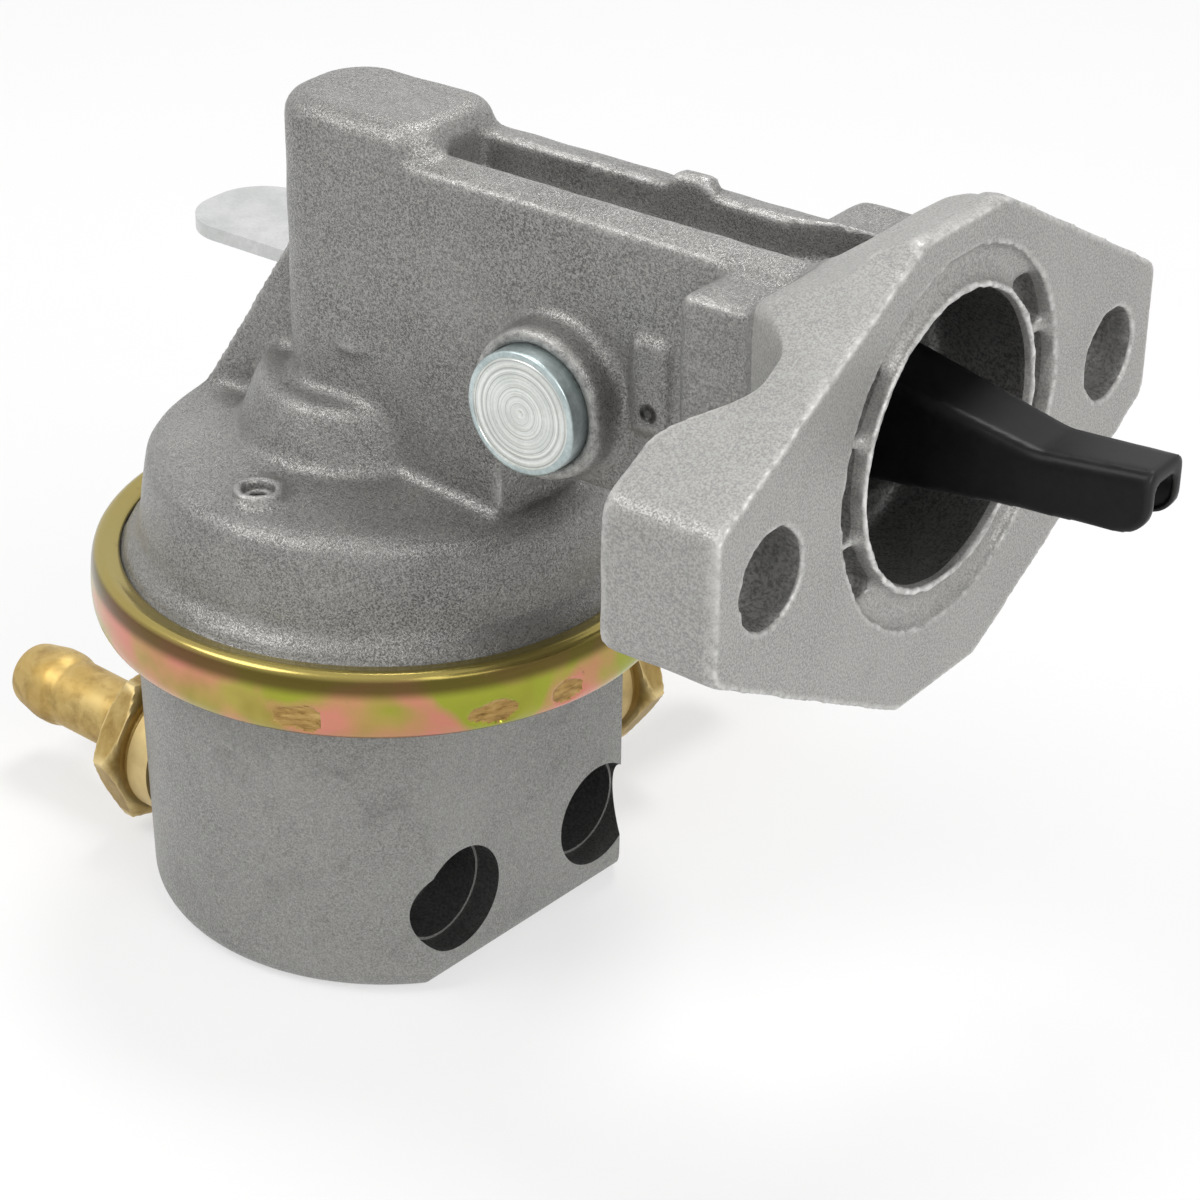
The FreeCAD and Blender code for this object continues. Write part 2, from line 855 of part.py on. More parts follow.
def lower_housing():
    """The valve body: a tapering drum with a flat side, two ports, two blind holes and two pockets."""
    rim_top = s.clamp_z - s.diaphragm_thickness
    drum = turned(
        "drum",
        [
            (0, s.base_z), (s.lower_base_radius, s.base_z),
            (s.lower_top_radius, rim_top - s.lower_rim_height - s.lower_flare_drop),
            (s.lower_top_radius + s.lower_flare, rim_top - s.lower_rim_height),
            (s.rim_radius, rim_top - s.lower_rim_height), (s.rim_radius, rim_top), (0, rim_top),
        ],
        (s.axis_x, 0, 0),
    )
    round_edges(drum, s.lower_edge_radius, lambda edge: is_ring(edge, s.lower_base_radius, s.base_z))
    flat = box(
        "flat_side",
        (s.axis_x + s.flat_from_axis, -s.rim_radius, s.base_z - 1),
        (s.axis_x + s.rim_radius + 1, s.rim_radius, rim_top - s.lower_rim_height - s.flat_side_drop),
    )
    dish = turned(
        "dish",
        [
            (0, rim_top - s.dish_depth), (s.dish_floor_radius, rim_top - s.dish_depth),
            (s.dish_mouth_radius, rim_top), (s.dish_mouth_radius, rim_top + 1), (0, rim_top + 1),
        ],
        (s.axis_x, 0, 0),
    )
    beyond = s.rim_radius + 1
    corner_flat = padded(
        "corner_flat",
        "XY_Plane",
        [
            (s.axis_x + s.flat_from_axis, s.corner_flat_near_y), (s.axis_x + beyond, s.corner_flat_near_y),
            (s.axis_x + beyond, beyond), (s.axis_x + s.corner_flat_far_x, beyond),
            (s.axis_x + s.corner_flat_far_x, s.corner_flat_far_y),
        ],
        rim_top - s.lower_rim_height - s.flat_side_drop - s.base_z + 1,
        (0, 0, s.base_z - 1),
    )
    face = s.axis_x + s.flat_from_axis
    edge_start = (face - s.flat_edge_radius, -s.rim_radius, s.base_z + s.flat_edge_radius)
    edge_waste = box(
        "flat_edge_waste",
        (face - s.flat_edge_radius, -s.rim_radius, s.base_z - 1),
        (face + 1, s.rim_radius, s.base_z + s.flat_edge_radius),
    )
    edge_core = cylinder("flat_edge_core", s.flat_edge_radius, s.rim_radius * 2, edge_start, "Y")
    tools = [flat, corner_flat, cut("flat_edge", edge_waste, edge_core), dish]
    for index, across in enumerate((s.blind_hole_near_y, s.blind_hole_far_y)):
        where = (face + 1, across, s.port_z)
        tools.append(
            cylinder(f"blind_hole_{index}", s.blind_hole_radius, s.blind_hole_depth + 1, where, "-X")
        )
        tools.append(
            cylinder(
                f"blind_hole_step_{index}", s.blind_hole_step_radius, s.blind_hole_step_depth + 1, where, "-X"
            )
        )
    floor = rim_top - s.dish_depth
    inlet_seat = (s.axis_x - s.spot_face_from_axis, s.inlet_y, s.port_z)
    outlet_seat = (s.outlet_x, s.spot_face_from_axis, s.outlet_z)
    ports = (
        ("inlet", (s.inlet_valve_x, s.inlet_y), "-X", inlet_seat),
        ("outlet", (s.outlet_x, s.outlet_valve_y), "Y", outlet_seat),
    )
    for name, (valve_x, valve_y), along, outward in ports:
        level = outward[2]
        tools.append(
            cylinder(
                name + "_pocket", s.pocket_radius, s.pocket_depth + 1,
                (valve_x, valve_y, floor - s.pocket_depth),
            )
        )
        tools.append(
            cylinder(
                name + "_down_passage", s.passage_radius, floor - s.pocket_depth - level + 1,
                (valve_x, valve_y, level),
            )
        )
        tools.append(
            cylinder(
                name + "_cross_passage", s.passage_radius, s.rim_radius,
                (valve_x, valve_y, level), along,
            )
        )
        tools.append(cylinder(name + "_spot_face", s.spot_face_radius, s.spot_face_reach, outward, along))
        # The hexagon's turning circle is cleared too, from just behind its inner face outwards.
        hexagon_outer = s.inlet_hexagon_from_axis if name == "inlet" else s.outlet_hexagon_from_axis
        behind = hexagon_outer - s.hexagon_thickness - s.hexagon_clearance
        where = (s.axis_x - behind, s.inlet_y, level) if name == "inlet" else (s.outlet_x, behind, level)
        tools.append(
            cylinder(
                name + "_hexagon_relief", s.hexagon_across_flats / math.sqrt(3) + s.hexagon_clearance,
                s.spot_face_reach, where, along,
            )
        )
        inward = "X" if along == "-X" else "-Y"
        tools.append(
            cylinder(
                name + "_thread_hole", s.thread_radius + s.thread_clearance,
                s.thread_length + s.thread_run_out, outward, inward,
            )
        )
    return turn_lower(cut("lower_housing", drum, *tools))


def crimp_ring():
    """The sheet ring, rolled over the upper rim and crimped under the lower one."""
    inside = s.rim_radius + s.ring_gap
    top = s.rim_top + s.ring_gap
    rim_low = s.clamp_z - s.diaphragm_thickness - s.lower_rim_height
    low = rim_low - s.ring_gap
    sheet = s.ring_sheet
    outside = inside + sheet + s.ring_bulge
    upper_lip = inside - s.ring_upper_lip
    lower_lip = inside - s.ring_lower_lip
    return turned(
        "crimp_ring",
        [
            (upper_lip, top), (inside, top), (inside, low), (lower_lip, low),
            (lower_lip, low - sheet), (inside + sheet * 0.4, low - sheet),
            (inside + sheet, low - sheet * 0.2), (outside, low + sheet * 1.5),
            (outside, top - sheet), (inside + sheet * 0.9, top + sheet * 0.5),
            (inside, top + sheet), (upper_lip, top + sheet * 0.8),
        ],
        (s.axis_x, 0, 0),
    )


def rocker_pin():
    """The pin, with a wide turned head on the near side."""
    length = s.pin_boss_half_width * 2 - s.wall
    head = s.pin_head_depth + s.pin_head_proud
    body = turned(
        "rocker_pin",
        [
            (0, 0), (s.pin_head_radius, 0), (s.pin_head_radius, head), (s.pin_radius, head),
            (s.pin_radius, length + s.pin_head_proud), (0, length + s.pin_head_proud),
        ],
        (s.pin_x, -s.pin_boss_half_width - s.pin_head_proud, s.pin_z),
        "Y",
    )
    return round_edges(
        body, s.pin_head_edge_radius, lambda edge: is_ring(edge, s.pin_head_radius, as_size(0))
    )


def arm_washers():
    """The two spacing washers on the pin."""
    inner = s.arm_half_width + s.side_clearance
    outer = s.cavity_half_width
    washers = []
    for index, start in enumerate((-outer, inner)):
        washers.append(
            turned(
                f"arm_washer_{index}",
                [
                    (s.pin_radius, 0), (s.washer_radius, 0), (s.washer_radius, outer - inner),
                    (s.pin_radius, outer - inner),
                ],
                (s.pin_x, start, s.pin_z),
                "Y",
            )
        )
    group = doc.addObject("Part::Compound", "arm_washers")
    group.Links = washers
    return group


def arm_outline(drop, floor):
    """The channel's side outline: its top edge lowered by a sheet, and its lower edge or a floor."""
    top = [
        (s.arm_tip + drop, s.arm_tip_top - drop), (s.arm_bend_x, s.arm_bend_top - drop),
        (s.arm_crest_x, s.arm_crest - drop), (s.arm_crest_end, s.arm_crest - drop),
        (s.arm_tail_start, s.arm_tail_top - drop), (s.arm_tail - drop, s.arm_tail_top - drop),
    ]
    if floor is not None:
        return top + [(s.arm_tail - drop, floor), (s.arm_tip + drop, floor)]
    belly = s.arm_belly_half_length
    return top + [
        (s.arm_tail, s.arm_tail_bottom), (s.arm_tail_start, s.arm_heel),
        (s.pin_x - belly, s.arm_belly), (s.pin_x + belly, s.arm_belly),
        (s.arm_throat_x, s.arm_throat_bottom), (s.arm_neck_x, s.arm_neck_bottom),
        (s.arm_nose_x, s.arm_nose_bottom), (s.arm_tip, s.arm_tip_bottom),
    ]


def arm_side(name, drop, floor, bend_radius):
    """The channel's side view, padded across, with its bends rounded."""
    side = padded(
        name,
        "XZ_Plane",
        arm_outline(drop, floor),
        s.arm_shoulder_half_width * 2 + 4,
        (0, s.arm_shoulder_half_width + 2, 0),
    )
    tip = s.arm_tip.number - 1
    tail = s.arm_tail.number + 1

    def upper_bend(edge):
        middle = edge.CenterOfMass
        return is_along(edge, ALONG_Y) and middle.z > 2 and tail < middle.x < tip

    return round_edges(side, bend_radius, upper_bend)


def arm_plan(name, inset, beyond):
    """The channel's plan view, padded upwards, widening evenly from the tip."""
    tip = s.arm_tip_half_width - inset
    taper = (s.arm_wide_half_width - s.arm_tip_half_width) / (s.arm_tip - s.arm_wide_x)
    tail = tip + taper * (s.arm_tip - s.arm_tail)
    corners = [
        (s.arm_tail - beyond, -tail), (s.arm_tip + beyond, -tip), (s.arm_tip + beyond, tip),
        (s.arm_tail - beyond, tail),
    ]
    return padded(name, "XY_Plane", corners, s.arm_plan_height, (0, 0, -s.arm_plan_height / 2))


def arm_waist(name, inset):
    """The plan that keeps the channel parallel inside the pump and sets it free in the bore."""
    waist = s.arm_half_width - inset
    wide = s.arm_shoulder_half_width - inset
    half_height = s.arm_plan_height / 2
    back = s.arm_tail - s.arm_sheet - 1
    front = s.arm_tip + s.arm_sheet + 1
    return padded(
        name,
        "XY_Plane",
        [
            (back, -waist), (s.arm_waist_x, -waist), (s.arm_waist_end, -wide), (front, -wide),
            (front, wide), (s.arm_waist_end, wide), (s.arm_waist_x, waist), (back, waist),
        ],
        s.arm_plan_height,
        (0, 0, -half_height),
    )


def rocker_arm():
    """The stamped channel that the cam works, open below and at its tip."""
    side = arm_side("arm_side", as_size(0), None, s.arm_bend_radius)
    tip = s.arm_tip.number
    round_edges(
        side,
        s.arm_tip_corner_radius,
        lambda edge: is_along(edge, ALONG_Y)
        and abs(edge.CenterOfMass.x - tip) < 0.01
        and edge.CenterOfMass.z < 4,
    )
    outer = common("arm_outer", side, arm_plan("arm_plan", as_size(0), as_size(0)))

    def upper_edge(edge):
        middle = edge.CenterOfMass
        return not is_along(edge, ALONG_Y) and middle.z > 5 and edge.BoundBox.XLength > 0.2 and (
            abs(middle.y) > 1
        )

    outer = softened("arm_outer_soft", outer, s.arm_edge_radius, upper_edge)
    outer = common("arm_outer_waist", outer, arm_waist("arm_waist", as_size(0)))
    hub = cylinder(
        "arm_hub", s.arm_hub_radius, s.arm_half_width * 2, (s.pin_x, -s.arm_half_width, s.pin_z), "Y"
    )
    inner_side = arm_side("arm_inner_side", s.arm_sheet, -s.arm_plan_height / 2, s.arm_bend_radius)
    inner_plan = arm_plan("arm_inner_plan", s.arm_sheet, s.arm_sheet)
    inner = common("arm_inner", inner_side, inner_plan)
    inner = common("arm_inner_waist", inner, arm_waist("arm_waist_inner", s.arm_sheet))
    hole = cylinder(
        "arm_pin_hole", s.pin_radius + s.pin_clearance, s.arm_half_width * 2 + 2,
        (s.pin_x, -s.arm_half_width - 1, s.pin_z), "Y",
    )
    return cut("rocker_arm", union("arm_with_hub", outer, hub), inner, hole)


def link_lever():
    """The lever beside the arm's web, with a fork under the pull rod's head."""
    half = s.link_half_width
    hub = cylinder("link_hub", s.link_hub_radius, half * 2, (s.pin_x, -half, s.pin_z), "Y")
    bar = box("link_bar", (s.link_bar_end, -half, s.link_bottom), (s.pin_x, half, s.link_top))
    fork = box(
        "link_fork",
        (s.fork_end, -s.fork_half_width, s.fork_top - s.fork_thickness),
        (s.fork_root, s.fork_half_width, s.fork_top),
    )
    slot = box(
        "link_slot",
        (s.fork_end - 1, -s.fork_slot_half_width, s.fork_top - s.fork_thickness - 1),
        (s.axis_x + s.fork_slot_half_width, s.fork_slot_half_width, s.fork_top + 1),
    )
    head_room = cylinder(
        "link_head_room", s.rod_head_radius + s.rod_head_room, s.rod_head_room_height,
        (s.axis_x, 0, s.fork_top),
    )
    hole = cylinder(
        "link_pin_hole", s.pin_radius + s.pin_clearance, half * 2 + 2, (s.pin_x, -half - 1, s.pin_z), "Y"
    )
    return cut("link_lever", union("link_blank", hub, bar, fork), slot, head_room, hole)


def pull_rod():
    """The rod, with a head that the fork lifts and a riveted end under the plates."""
    bottom = s.clamp_z - s.diaphragm_thickness - s.plate_thickness - s.nut_height - s.rod_end_proud
    under = s.fork_top + s.fork_clearance
    return turned(
        "pull_rod",
        [
            (0, bottom), (s.rod_radius, bottom), (s.rod_radius, under),
            (s.rod_head_radius, under + s.rod_head_taper),
            (s.rod_head_radius, under + s.rod_head_taper + s.rod_head_height),
            (0, under + s.rod_head_taper + s.rod_head_height),
        ],
        (s.axis_x, 0, 0),
    )


def dished_plate(name, face, up):
    """A pressed plate with its rim turned away from the diaphragm."""
    far = face + up * s.plate_thickness
    return turned(
        name,
        [
            (s.rod_radius, face), (s.plate_radius - s.plate_rim, face),
            (s.plate_radius, face + up * s.plate_rim / 2),
            (s.plate_radius, face + up * s.plate_rim / 2 + up * s.plate_thickness),
            (s.plate_radius - s.plate_rim, far), (s.rod_radius, far),
        ],
        (s.axis_x, 0, 0),
    )


def diaphragm():
    """The cloth disc, clamped by its edge and held at its middle by the plates."""
    low = s.clamp_z - s.diaphragm_thickness
    return turned(
        "diaphragm",
        [
            (s.rod_radius, low), (s.rim_radius - s.diaphragm_inset, low),
            (s.rim_radius - s.diaphragm_inset, s.clamp_z),
            (s.rod_radius, s.clamp_z),
        ],
        (s.axis_x, 0, 0),
    )


def rod_nut():
    low = s.clamp_z - s.diaphragm_thickness - s.plate_thickness - s.nut_height
    blank = hexagon("rod_nut_blank", s.nut_across_flats, s.nut_height, (s.axis_x, 0, low))
    hole = cylinder("rod_nut_hole", s.rod_radius, s.nut_height + 2, (s.axis_x, 0, low - 1))
    return cut("rod_nut", blank, hole)


def rod_seal():
    """The oil seal in its pocket under the collar."""
    roof = s.dome_top - s.wall
    inner = s.rod_radius + s.seal_clearance
    return turned(
        "rod_seal",
        [
            (inner, roof), (s.seal_radius, roof), (s.seal_radius, roof + s.seal_height),
            (inner, roof + s.seal_height),
        ],
        (s.axis_x, 0, 0),
    )


def seal_retainer():
    """The flat cup that holds the seal in and seats the diaphragm spring."""
    roof = s.dome_top - s.wall
    inner = s.rod_radius + s.retainer_cup_clearance
    sheet = s.retainer_cup_sheet
    return turned(
        "seal_retainer",
        [
            (inner, roof - sheet), (s.retainer_cup_radius, roof - sheet),
            (s.retainer_cup_radius, roof), (inner, roof),
        ],
        (s.axis_x, 0, 0),
    )


def valve(name, x, y, opens_up):
    """One disc valve in its pocket: seat, disc, spring and retainer."""
    floor = s.clamp_z - s.diaphragm_thickness - s.dish_depth
    bottom = floor - s.pocket_depth
    step = 1 if opens_up else -1
    seat_back = bottom if opens_up else floor
    seat_face = seat_back + step * s.seat_thickness
    lip_face = seat_face + step * s.seat_lip
    seat = turned(
        name + "_valve_seat",
        [
            (s.seat_bore_radius, seat_back), (s.pocket_radius, seat_back), (s.pocket_radius, seat_face),
            (s.seat_bore_radius + s.seat_lip_width, seat_face),
            (s.seat_bore_radius + s.seat_lip_width, lip_face),
            (s.seat_bore_radius, lip_face),
        ],
        (x, y, 0),
    )
    disc_near = lip_face + step * s.valve_gap
    disc_far = disc_near + step * s.valve_disc_thickness
    disc = turned(
        name + "_valve_disc",
        [(0, disc_near), (s.valve_disc_radius, disc_near), (s.valve_disc_radius, disc_far), (0, disc_far)],
        (x, y, 0),
    )
    plate_far = floor if opens_up else bottom
    plate_near = plate_far - step * s.retainer_thickness
    low = plate_near if opens_up else plate_far
    blank = cylinder(name + "_retainer_blank", s.pocket_radius, s.retainer_thickness, (x, y, low))
    holes = []
    for index in range(6):
        angle = math.radians(60 * index)
        holes.append(
            cylinder(
                f"{name}_retainer_hole_{index}",
                s.retainer_hole_radius,
                s.retainer_thickness + 2,
                (
                    x + s.retainer_hole_circle * round(math.cos(angle), 6),
                    y + s.retainer_hole_circle * round(math.sin(angle), 6),
                    low - 1,
                ),
            )
        )
    retainer = cut(name + "_valve_retainer", blank, *holes)
    start = disc_far + step * s.valve_gap
    end = plate_near - step * s.valve_gap
    low, high = (start, end) if opens_up else (end, start)
    coil = standing_spring(
        name + "_valve_spring", s.valve_spring_radius, s.valve_wire_radius, low, high, 3, x, y
    )
    return [seat, disc, retainer, coil]


def fitting(name, seat_at, along, hexagon_start):
    """A brass hose fitting: thread, neck, hexagon and ridged tail, with a bore right through."""
    outer = hexagon_start + s.hexagon_thickness
    tip = outer + s.barb_length
    ridge = s.barb_ridge_radius
    core = s.barb_radius
    land = s.barb_land
    tail = turned(
        name + "_turned",
        [
            (0, -s.thread_length), (s.thread_radius, -s.thread_length), (s.thread_radius, 0),
            (s.neck_fitting_radius, 0), (s.neck_fitting_radius, outer), (core, outer),
            (core, tip - s.barb_nose - land - s.barb_taper), (ridge, tip - s.barb_nose - land),
            (ridge, tip - s.barb_nose), (s.barb_mouth_radius, tip - s.barb_mouth_length),
            (s.barb_tip_radius, tip), (0, tip),
        ],
        seat_at,
        along,
    )
    offset = {"-X": (-1, 0, 0), "Y": (0, 1, 0)}[along]
    start = [coordinate + hexagon_start * step for coordinate, step in zip(seat_at, offset)]
    nut = hexagon(
        name + "_hexagon", s.hexagon_across_flats, s.hexagon_thickness, start, along,
        SIZES["hexagon_turn"],
    )
    inner_end = [coordinate - (s.thread_length + 1) * step for coordinate, step in zip(seat_at, offset)]
    bore = cylinder(
        name + "_bore", s.barb_bore_radius, tip + s.thread_length + 2, inner_end, along
    )
    return turn_lower(cut(name, union(name + "_solid", tail, nut), bore))


def primer():
    """The hand lever, its shaft with a flat for the link, and its return spring."""
    inner_face = s.primer_lever_y
    outer_face = s.primer_lever_y + s.primer_sheet
    eye = cylinder(
        "primer_eye", s.primer_eye_radius, s.primer_sheet, (s.primer_x, inner_face, s.primer_z), "Y"
    )
    half = s.primer_arm_height / 2
    strip = padded(
        "primer_strip",
        "XZ_Plane",
        [
            (s.primer_x, s.primer_z - half), (s.primer_x, s.primer_z + half),
            (s.primer_tab_start, s.primer_tab_top), (s.primer_strip_end, s.primer_tab_top),
            (s.primer_strip_end, s.primer_tab_top - s.primer_sheet),
            (s.primer_tab_start, s.primer_tab_top - s.primer_strip_drop),
        ],
        s.primer_sheet,
        (0, outer_face, 0),
    )
    tab = box(
        "primer_tab",
        (s.primer_tab_end, s.primer_tab_inner, s.primer_tab_top - s.primer_sheet),
        (s.primer_tab_start, outer_face, s.primer_tab_top),
    )
    tab_end = s.primer_tab_end.number
    tab = softened(
        "primer_tab_round",
        tab,
        s.primer_tab_corner,
        lambda edge: is_along(edge, ALONG_Z) and abs(edge.CenterOfMass.x - tab_end) < 0.01,
    )
    blank = union("primer_blank", eye, strip, tab)
    eye_hole = cylinder(
        "primer_eye_hole", s.primer_shaft_radius, s.primer_sheet + 2,
        (s.primer_x, inner_face - 1, s.primer_z), "Y",
    )
    lever = cut("primer_lever", blank, eye_hole)
    start = s.primer_shaft_inner
    rod = cylinder(
        "primer_rod", s.primer_shaft_radius, outer_face - start + s.primer_shaft_proud,
        (s.primer_x, start, s.primer_z), "Y"
    )
    flat = box(
        "primer_flat",
        (s.primer_x - s.primer_shaft_radius - 1, start - 1, s.primer_z + s.primer_cam_flat),
        (s.primer_x + s.primer_shaft_radius + 1, s.primer_flat_end, s.primer_z + s.primer_shaft_radius + 1),
    )
    shaft = cut("primer_shaft", rod, flat)
    low = s.primer_boss_end + s.spring_gap
    length = inner_face - s.spring_gap - low
    wire = s.rocker_wire_radius
    coil = spring(
        "primer_spring", s.primer_shaft_radius + wire + s.primer_spring_clearance, wire, length,
        s.primer_spring_pitch, (s.primer_x, low + wire, s.primer_z), "Y",
    )
    return [lever, shaft, coil]


clamp_low = s.clamp_z - s.diaphragm_thickness
dome_roof = s.dome_top - s.wall
seat_x = s.axis_x - s.spot_face_from_axis
nodes = [
    upper_housing(),
    lower_housing(),
    crimp_ring(),
    rocker_pin(),
    arm_washers(),
    rocker_arm(),
    link_lever(),
    pull_rod(),
    dished_plate("upper_diaphragm_plate", s.clamp_z, 1),
    dished_plate("lower_diaphragm_plate", clamp_low, -1),
    diaphragm(),
    rod_nut(),
    rod_seal(),
    seal_retainer(),
    standing_spring(
        "diaphragm_spring", s.diaphragm_spring_radius, s.diaphragm_wire_radius,
        s.clamp_z + s.plate_thickness + s.spring_gap, dome_roof - s.retainer_cup_sheet - s.spring_gap,
        3, s.axis_x, 0,
    ),
    standing_spring(
        "rocker_spring", s.rocker_spring_radius, s.rocker_wire_radius,
        s.rocker_spring_foot + s.spring_gap, s.tower_cavity_top - s.spring_gap, 5, s.rocker_spring_x, 0,
    ),
    fitting(
        "inlet_fitting", (seat_x, s.inlet_y, s.port_z), "-X",
        s.inlet_hexagon_from_axis - s.spot_face_from_axis - s.hexagon_thickness,
    ),
    fitting(
        "outlet_fitting", (s.outlet_x, s.spot_face_from_axis, s.outlet_z), "Y",
        s.outlet_hexagon_from_axis - s.spot_face_from_axis - s.hexagon_thickness,
    ),
    *valve("inlet", *turned_point(s.inlet_valve_x, s.inlet_y), True),
    *valve("outlet", *turned_point(s.outlet_x, s.outlet_valve_y), False),
    *primer(),
]

doc.recompute()
failed = [item.Name for item in doc.Objects if {"Invalid", "Error"} & set(item.State)]
if failed:
    raise RuntimeError("These objects failed: " + ", ".join(failed))
for node in nodes:
    if node.Shape.isNull() or not node.Shape.isValid():
        raise RuntimeError(f"The shape of {node.Label} is not sound")

os.makedirs("parts", exist_ok=True)
for node in nodes:
    node.Shape.exportStep(f"parts/{node.Label}.step")
print(f"{len(nodes)} nodes written")
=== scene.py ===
import math

import bmesh
import bpy
from mathutils import Matrix, Vector, noise


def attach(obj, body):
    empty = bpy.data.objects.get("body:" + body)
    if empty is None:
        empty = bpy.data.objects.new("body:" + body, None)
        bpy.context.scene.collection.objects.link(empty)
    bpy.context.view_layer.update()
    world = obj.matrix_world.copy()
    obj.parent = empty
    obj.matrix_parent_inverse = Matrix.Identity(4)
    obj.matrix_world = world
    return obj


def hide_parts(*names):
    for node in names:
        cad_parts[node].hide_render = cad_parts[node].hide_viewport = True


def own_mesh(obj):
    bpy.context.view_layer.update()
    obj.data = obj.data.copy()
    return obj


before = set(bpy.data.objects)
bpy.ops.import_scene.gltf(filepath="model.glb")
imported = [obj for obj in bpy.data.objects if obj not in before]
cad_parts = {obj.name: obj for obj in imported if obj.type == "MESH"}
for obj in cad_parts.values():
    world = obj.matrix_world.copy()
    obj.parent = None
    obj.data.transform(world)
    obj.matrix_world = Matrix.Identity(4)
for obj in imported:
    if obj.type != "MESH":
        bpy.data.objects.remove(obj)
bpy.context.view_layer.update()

MM = 0.001
NEAR = 0.01  # mm: places closer than this to a face lie on it

# Sizes repeated from part.py, in millimetres.
AXIS_X = -87.5
LOWER_TURN = math.radians(-4.0)
PORT_Z = -78.5
OUTLET_Z = -74.0
INLET_Y = -13.8
OUTLET_X = -83.0
SEAT_FROM_AXIS = 26.0
BORE_HEIGHT = 2.6
BORE_RADIUS = 18.0
FLAT_FROM_AXIS = 27.5
BLIND_HOLES_Y = (-15.0, 13.2)
BLIND_RADIUS = 7.7
BLIND_FLOOR = 15.0
BLIND_STEP = FLAT_FROM_AXIS - 4.0
PIN_X, PIN_Y, PIN_Z = -50.6, -17.6, -2.7
BASE_Z = -91.5


def turned(x, y, z):
    """A point of the lower housing, given square to the pump, where the housing's turn puts it."""
    out = x - AXIS_X
    return Vector((
        AXIS_X + out * math.cos(LOWER_TURN) - y * math.sin(LOWER_TURN),
        out * math.sin(LOWER_TURN) + y * math.cos(LOWER_TURN),
        z,
    )) * MM


def add_object(name, data):
    """A new object in the scene."""
    made = bpy.data.objects.new(name, data)
    bpy.context.scene.collection.objects.link(made)
    return made


# Camera, at the photograph's angle and distance.
CAMERA_AT = Vector((0.169486, -0.298684, 0.169884))
CAMERA_RIGHT = Vector((0.8001778, 0.5996172, 0.0132191))
CAMERA_UP = Vector((-0.3004777, 0.3817119, 0.8740762))
camera_data = bpy.data.cameras.new("camera")
camera_data.sensor_width = 36.0
camera_data.lens = 97.5
camera_data.clip_start = 0.01
camera = add_object("camera", camera_data)
camera_axes = Matrix((CAMERA_RIGHT, CAMERA_UP, CAMERA_RIGHT.cross(CAMERA_UP))).transposed()
camera.matrix_world = Matrix.Translation(CAMERA_AT) @ camera_axes.to_4x4()
bpy.context.scene.camera = camera
bpy.context.scene.view_settings.view_transform = "Standard"


# Materials
class Nodes:
    """A node tree, built up from nothing."""

    def __init__(self, tree):
        self.tree = tree
        self.tree.nodes.clear()

    def add(self, kind, **settings):
        """A new node with some of its own settings."""
        node = self.tree.nodes.new(kind)
        for name, value in settings.items():
            setattr(node, name, value)
        return node

    def put(self, socket, value):
        """Gives an input its value, or links another node's output to it."""
        if isinstance(value, bpy.types.NodeSocket):
            self.tree.links.new(value, socket)
        elif isinstance(value, tuple) and len(value) == 3 and socket.type == "RGBA":
            socket.default_value = (*value, 1.0)
        else:
            socket.default_value = value

    def math(self, operation, first, second):
        node = self.add("ShaderNodeMath", operation=operation)
        self.put(node.inputs[0], first)
        self.put(node.inputs[1], second)
        return node.outputs[0]

    def scaled(self, value, low, high):
        """A value of 0 to 1, spread from low to high."""
        node = self.add("ShaderNodeMapRange")
        self.put(node.inputs["Value"], value)
        node.inputs["To Min"].default_value = low
        node.inputs["To Max"].default_value = high
        return node.outputs["Result"]

    def between(self, value, low, high, interpolation="LINEAR"):
        """0 where a value is low or less, and 1 where it is high or more."""
        node = self.add("ShaderNodeMapRange", interpolation_type=interpolation)
        self.put(node.inputs["Value"], value)
        node.inputs["From Min"].default_value = low
        node.inputs["From Max"].default_value = high
        return node.outputs["Result"]

    def seen_directly(self):
        """1 for the rays of the camera, and for those that shiny and clear surfaces send on."""
        path = self.add("ShaderNodeLightPath")
        seen = self.math("MAXIMUM", path.outputs["Is Camera Ray"], path.outputs["Is Glossy Ray"])
        return self.math("MAXIMUM", seen, path.outputs["Is Transmission Ray"])


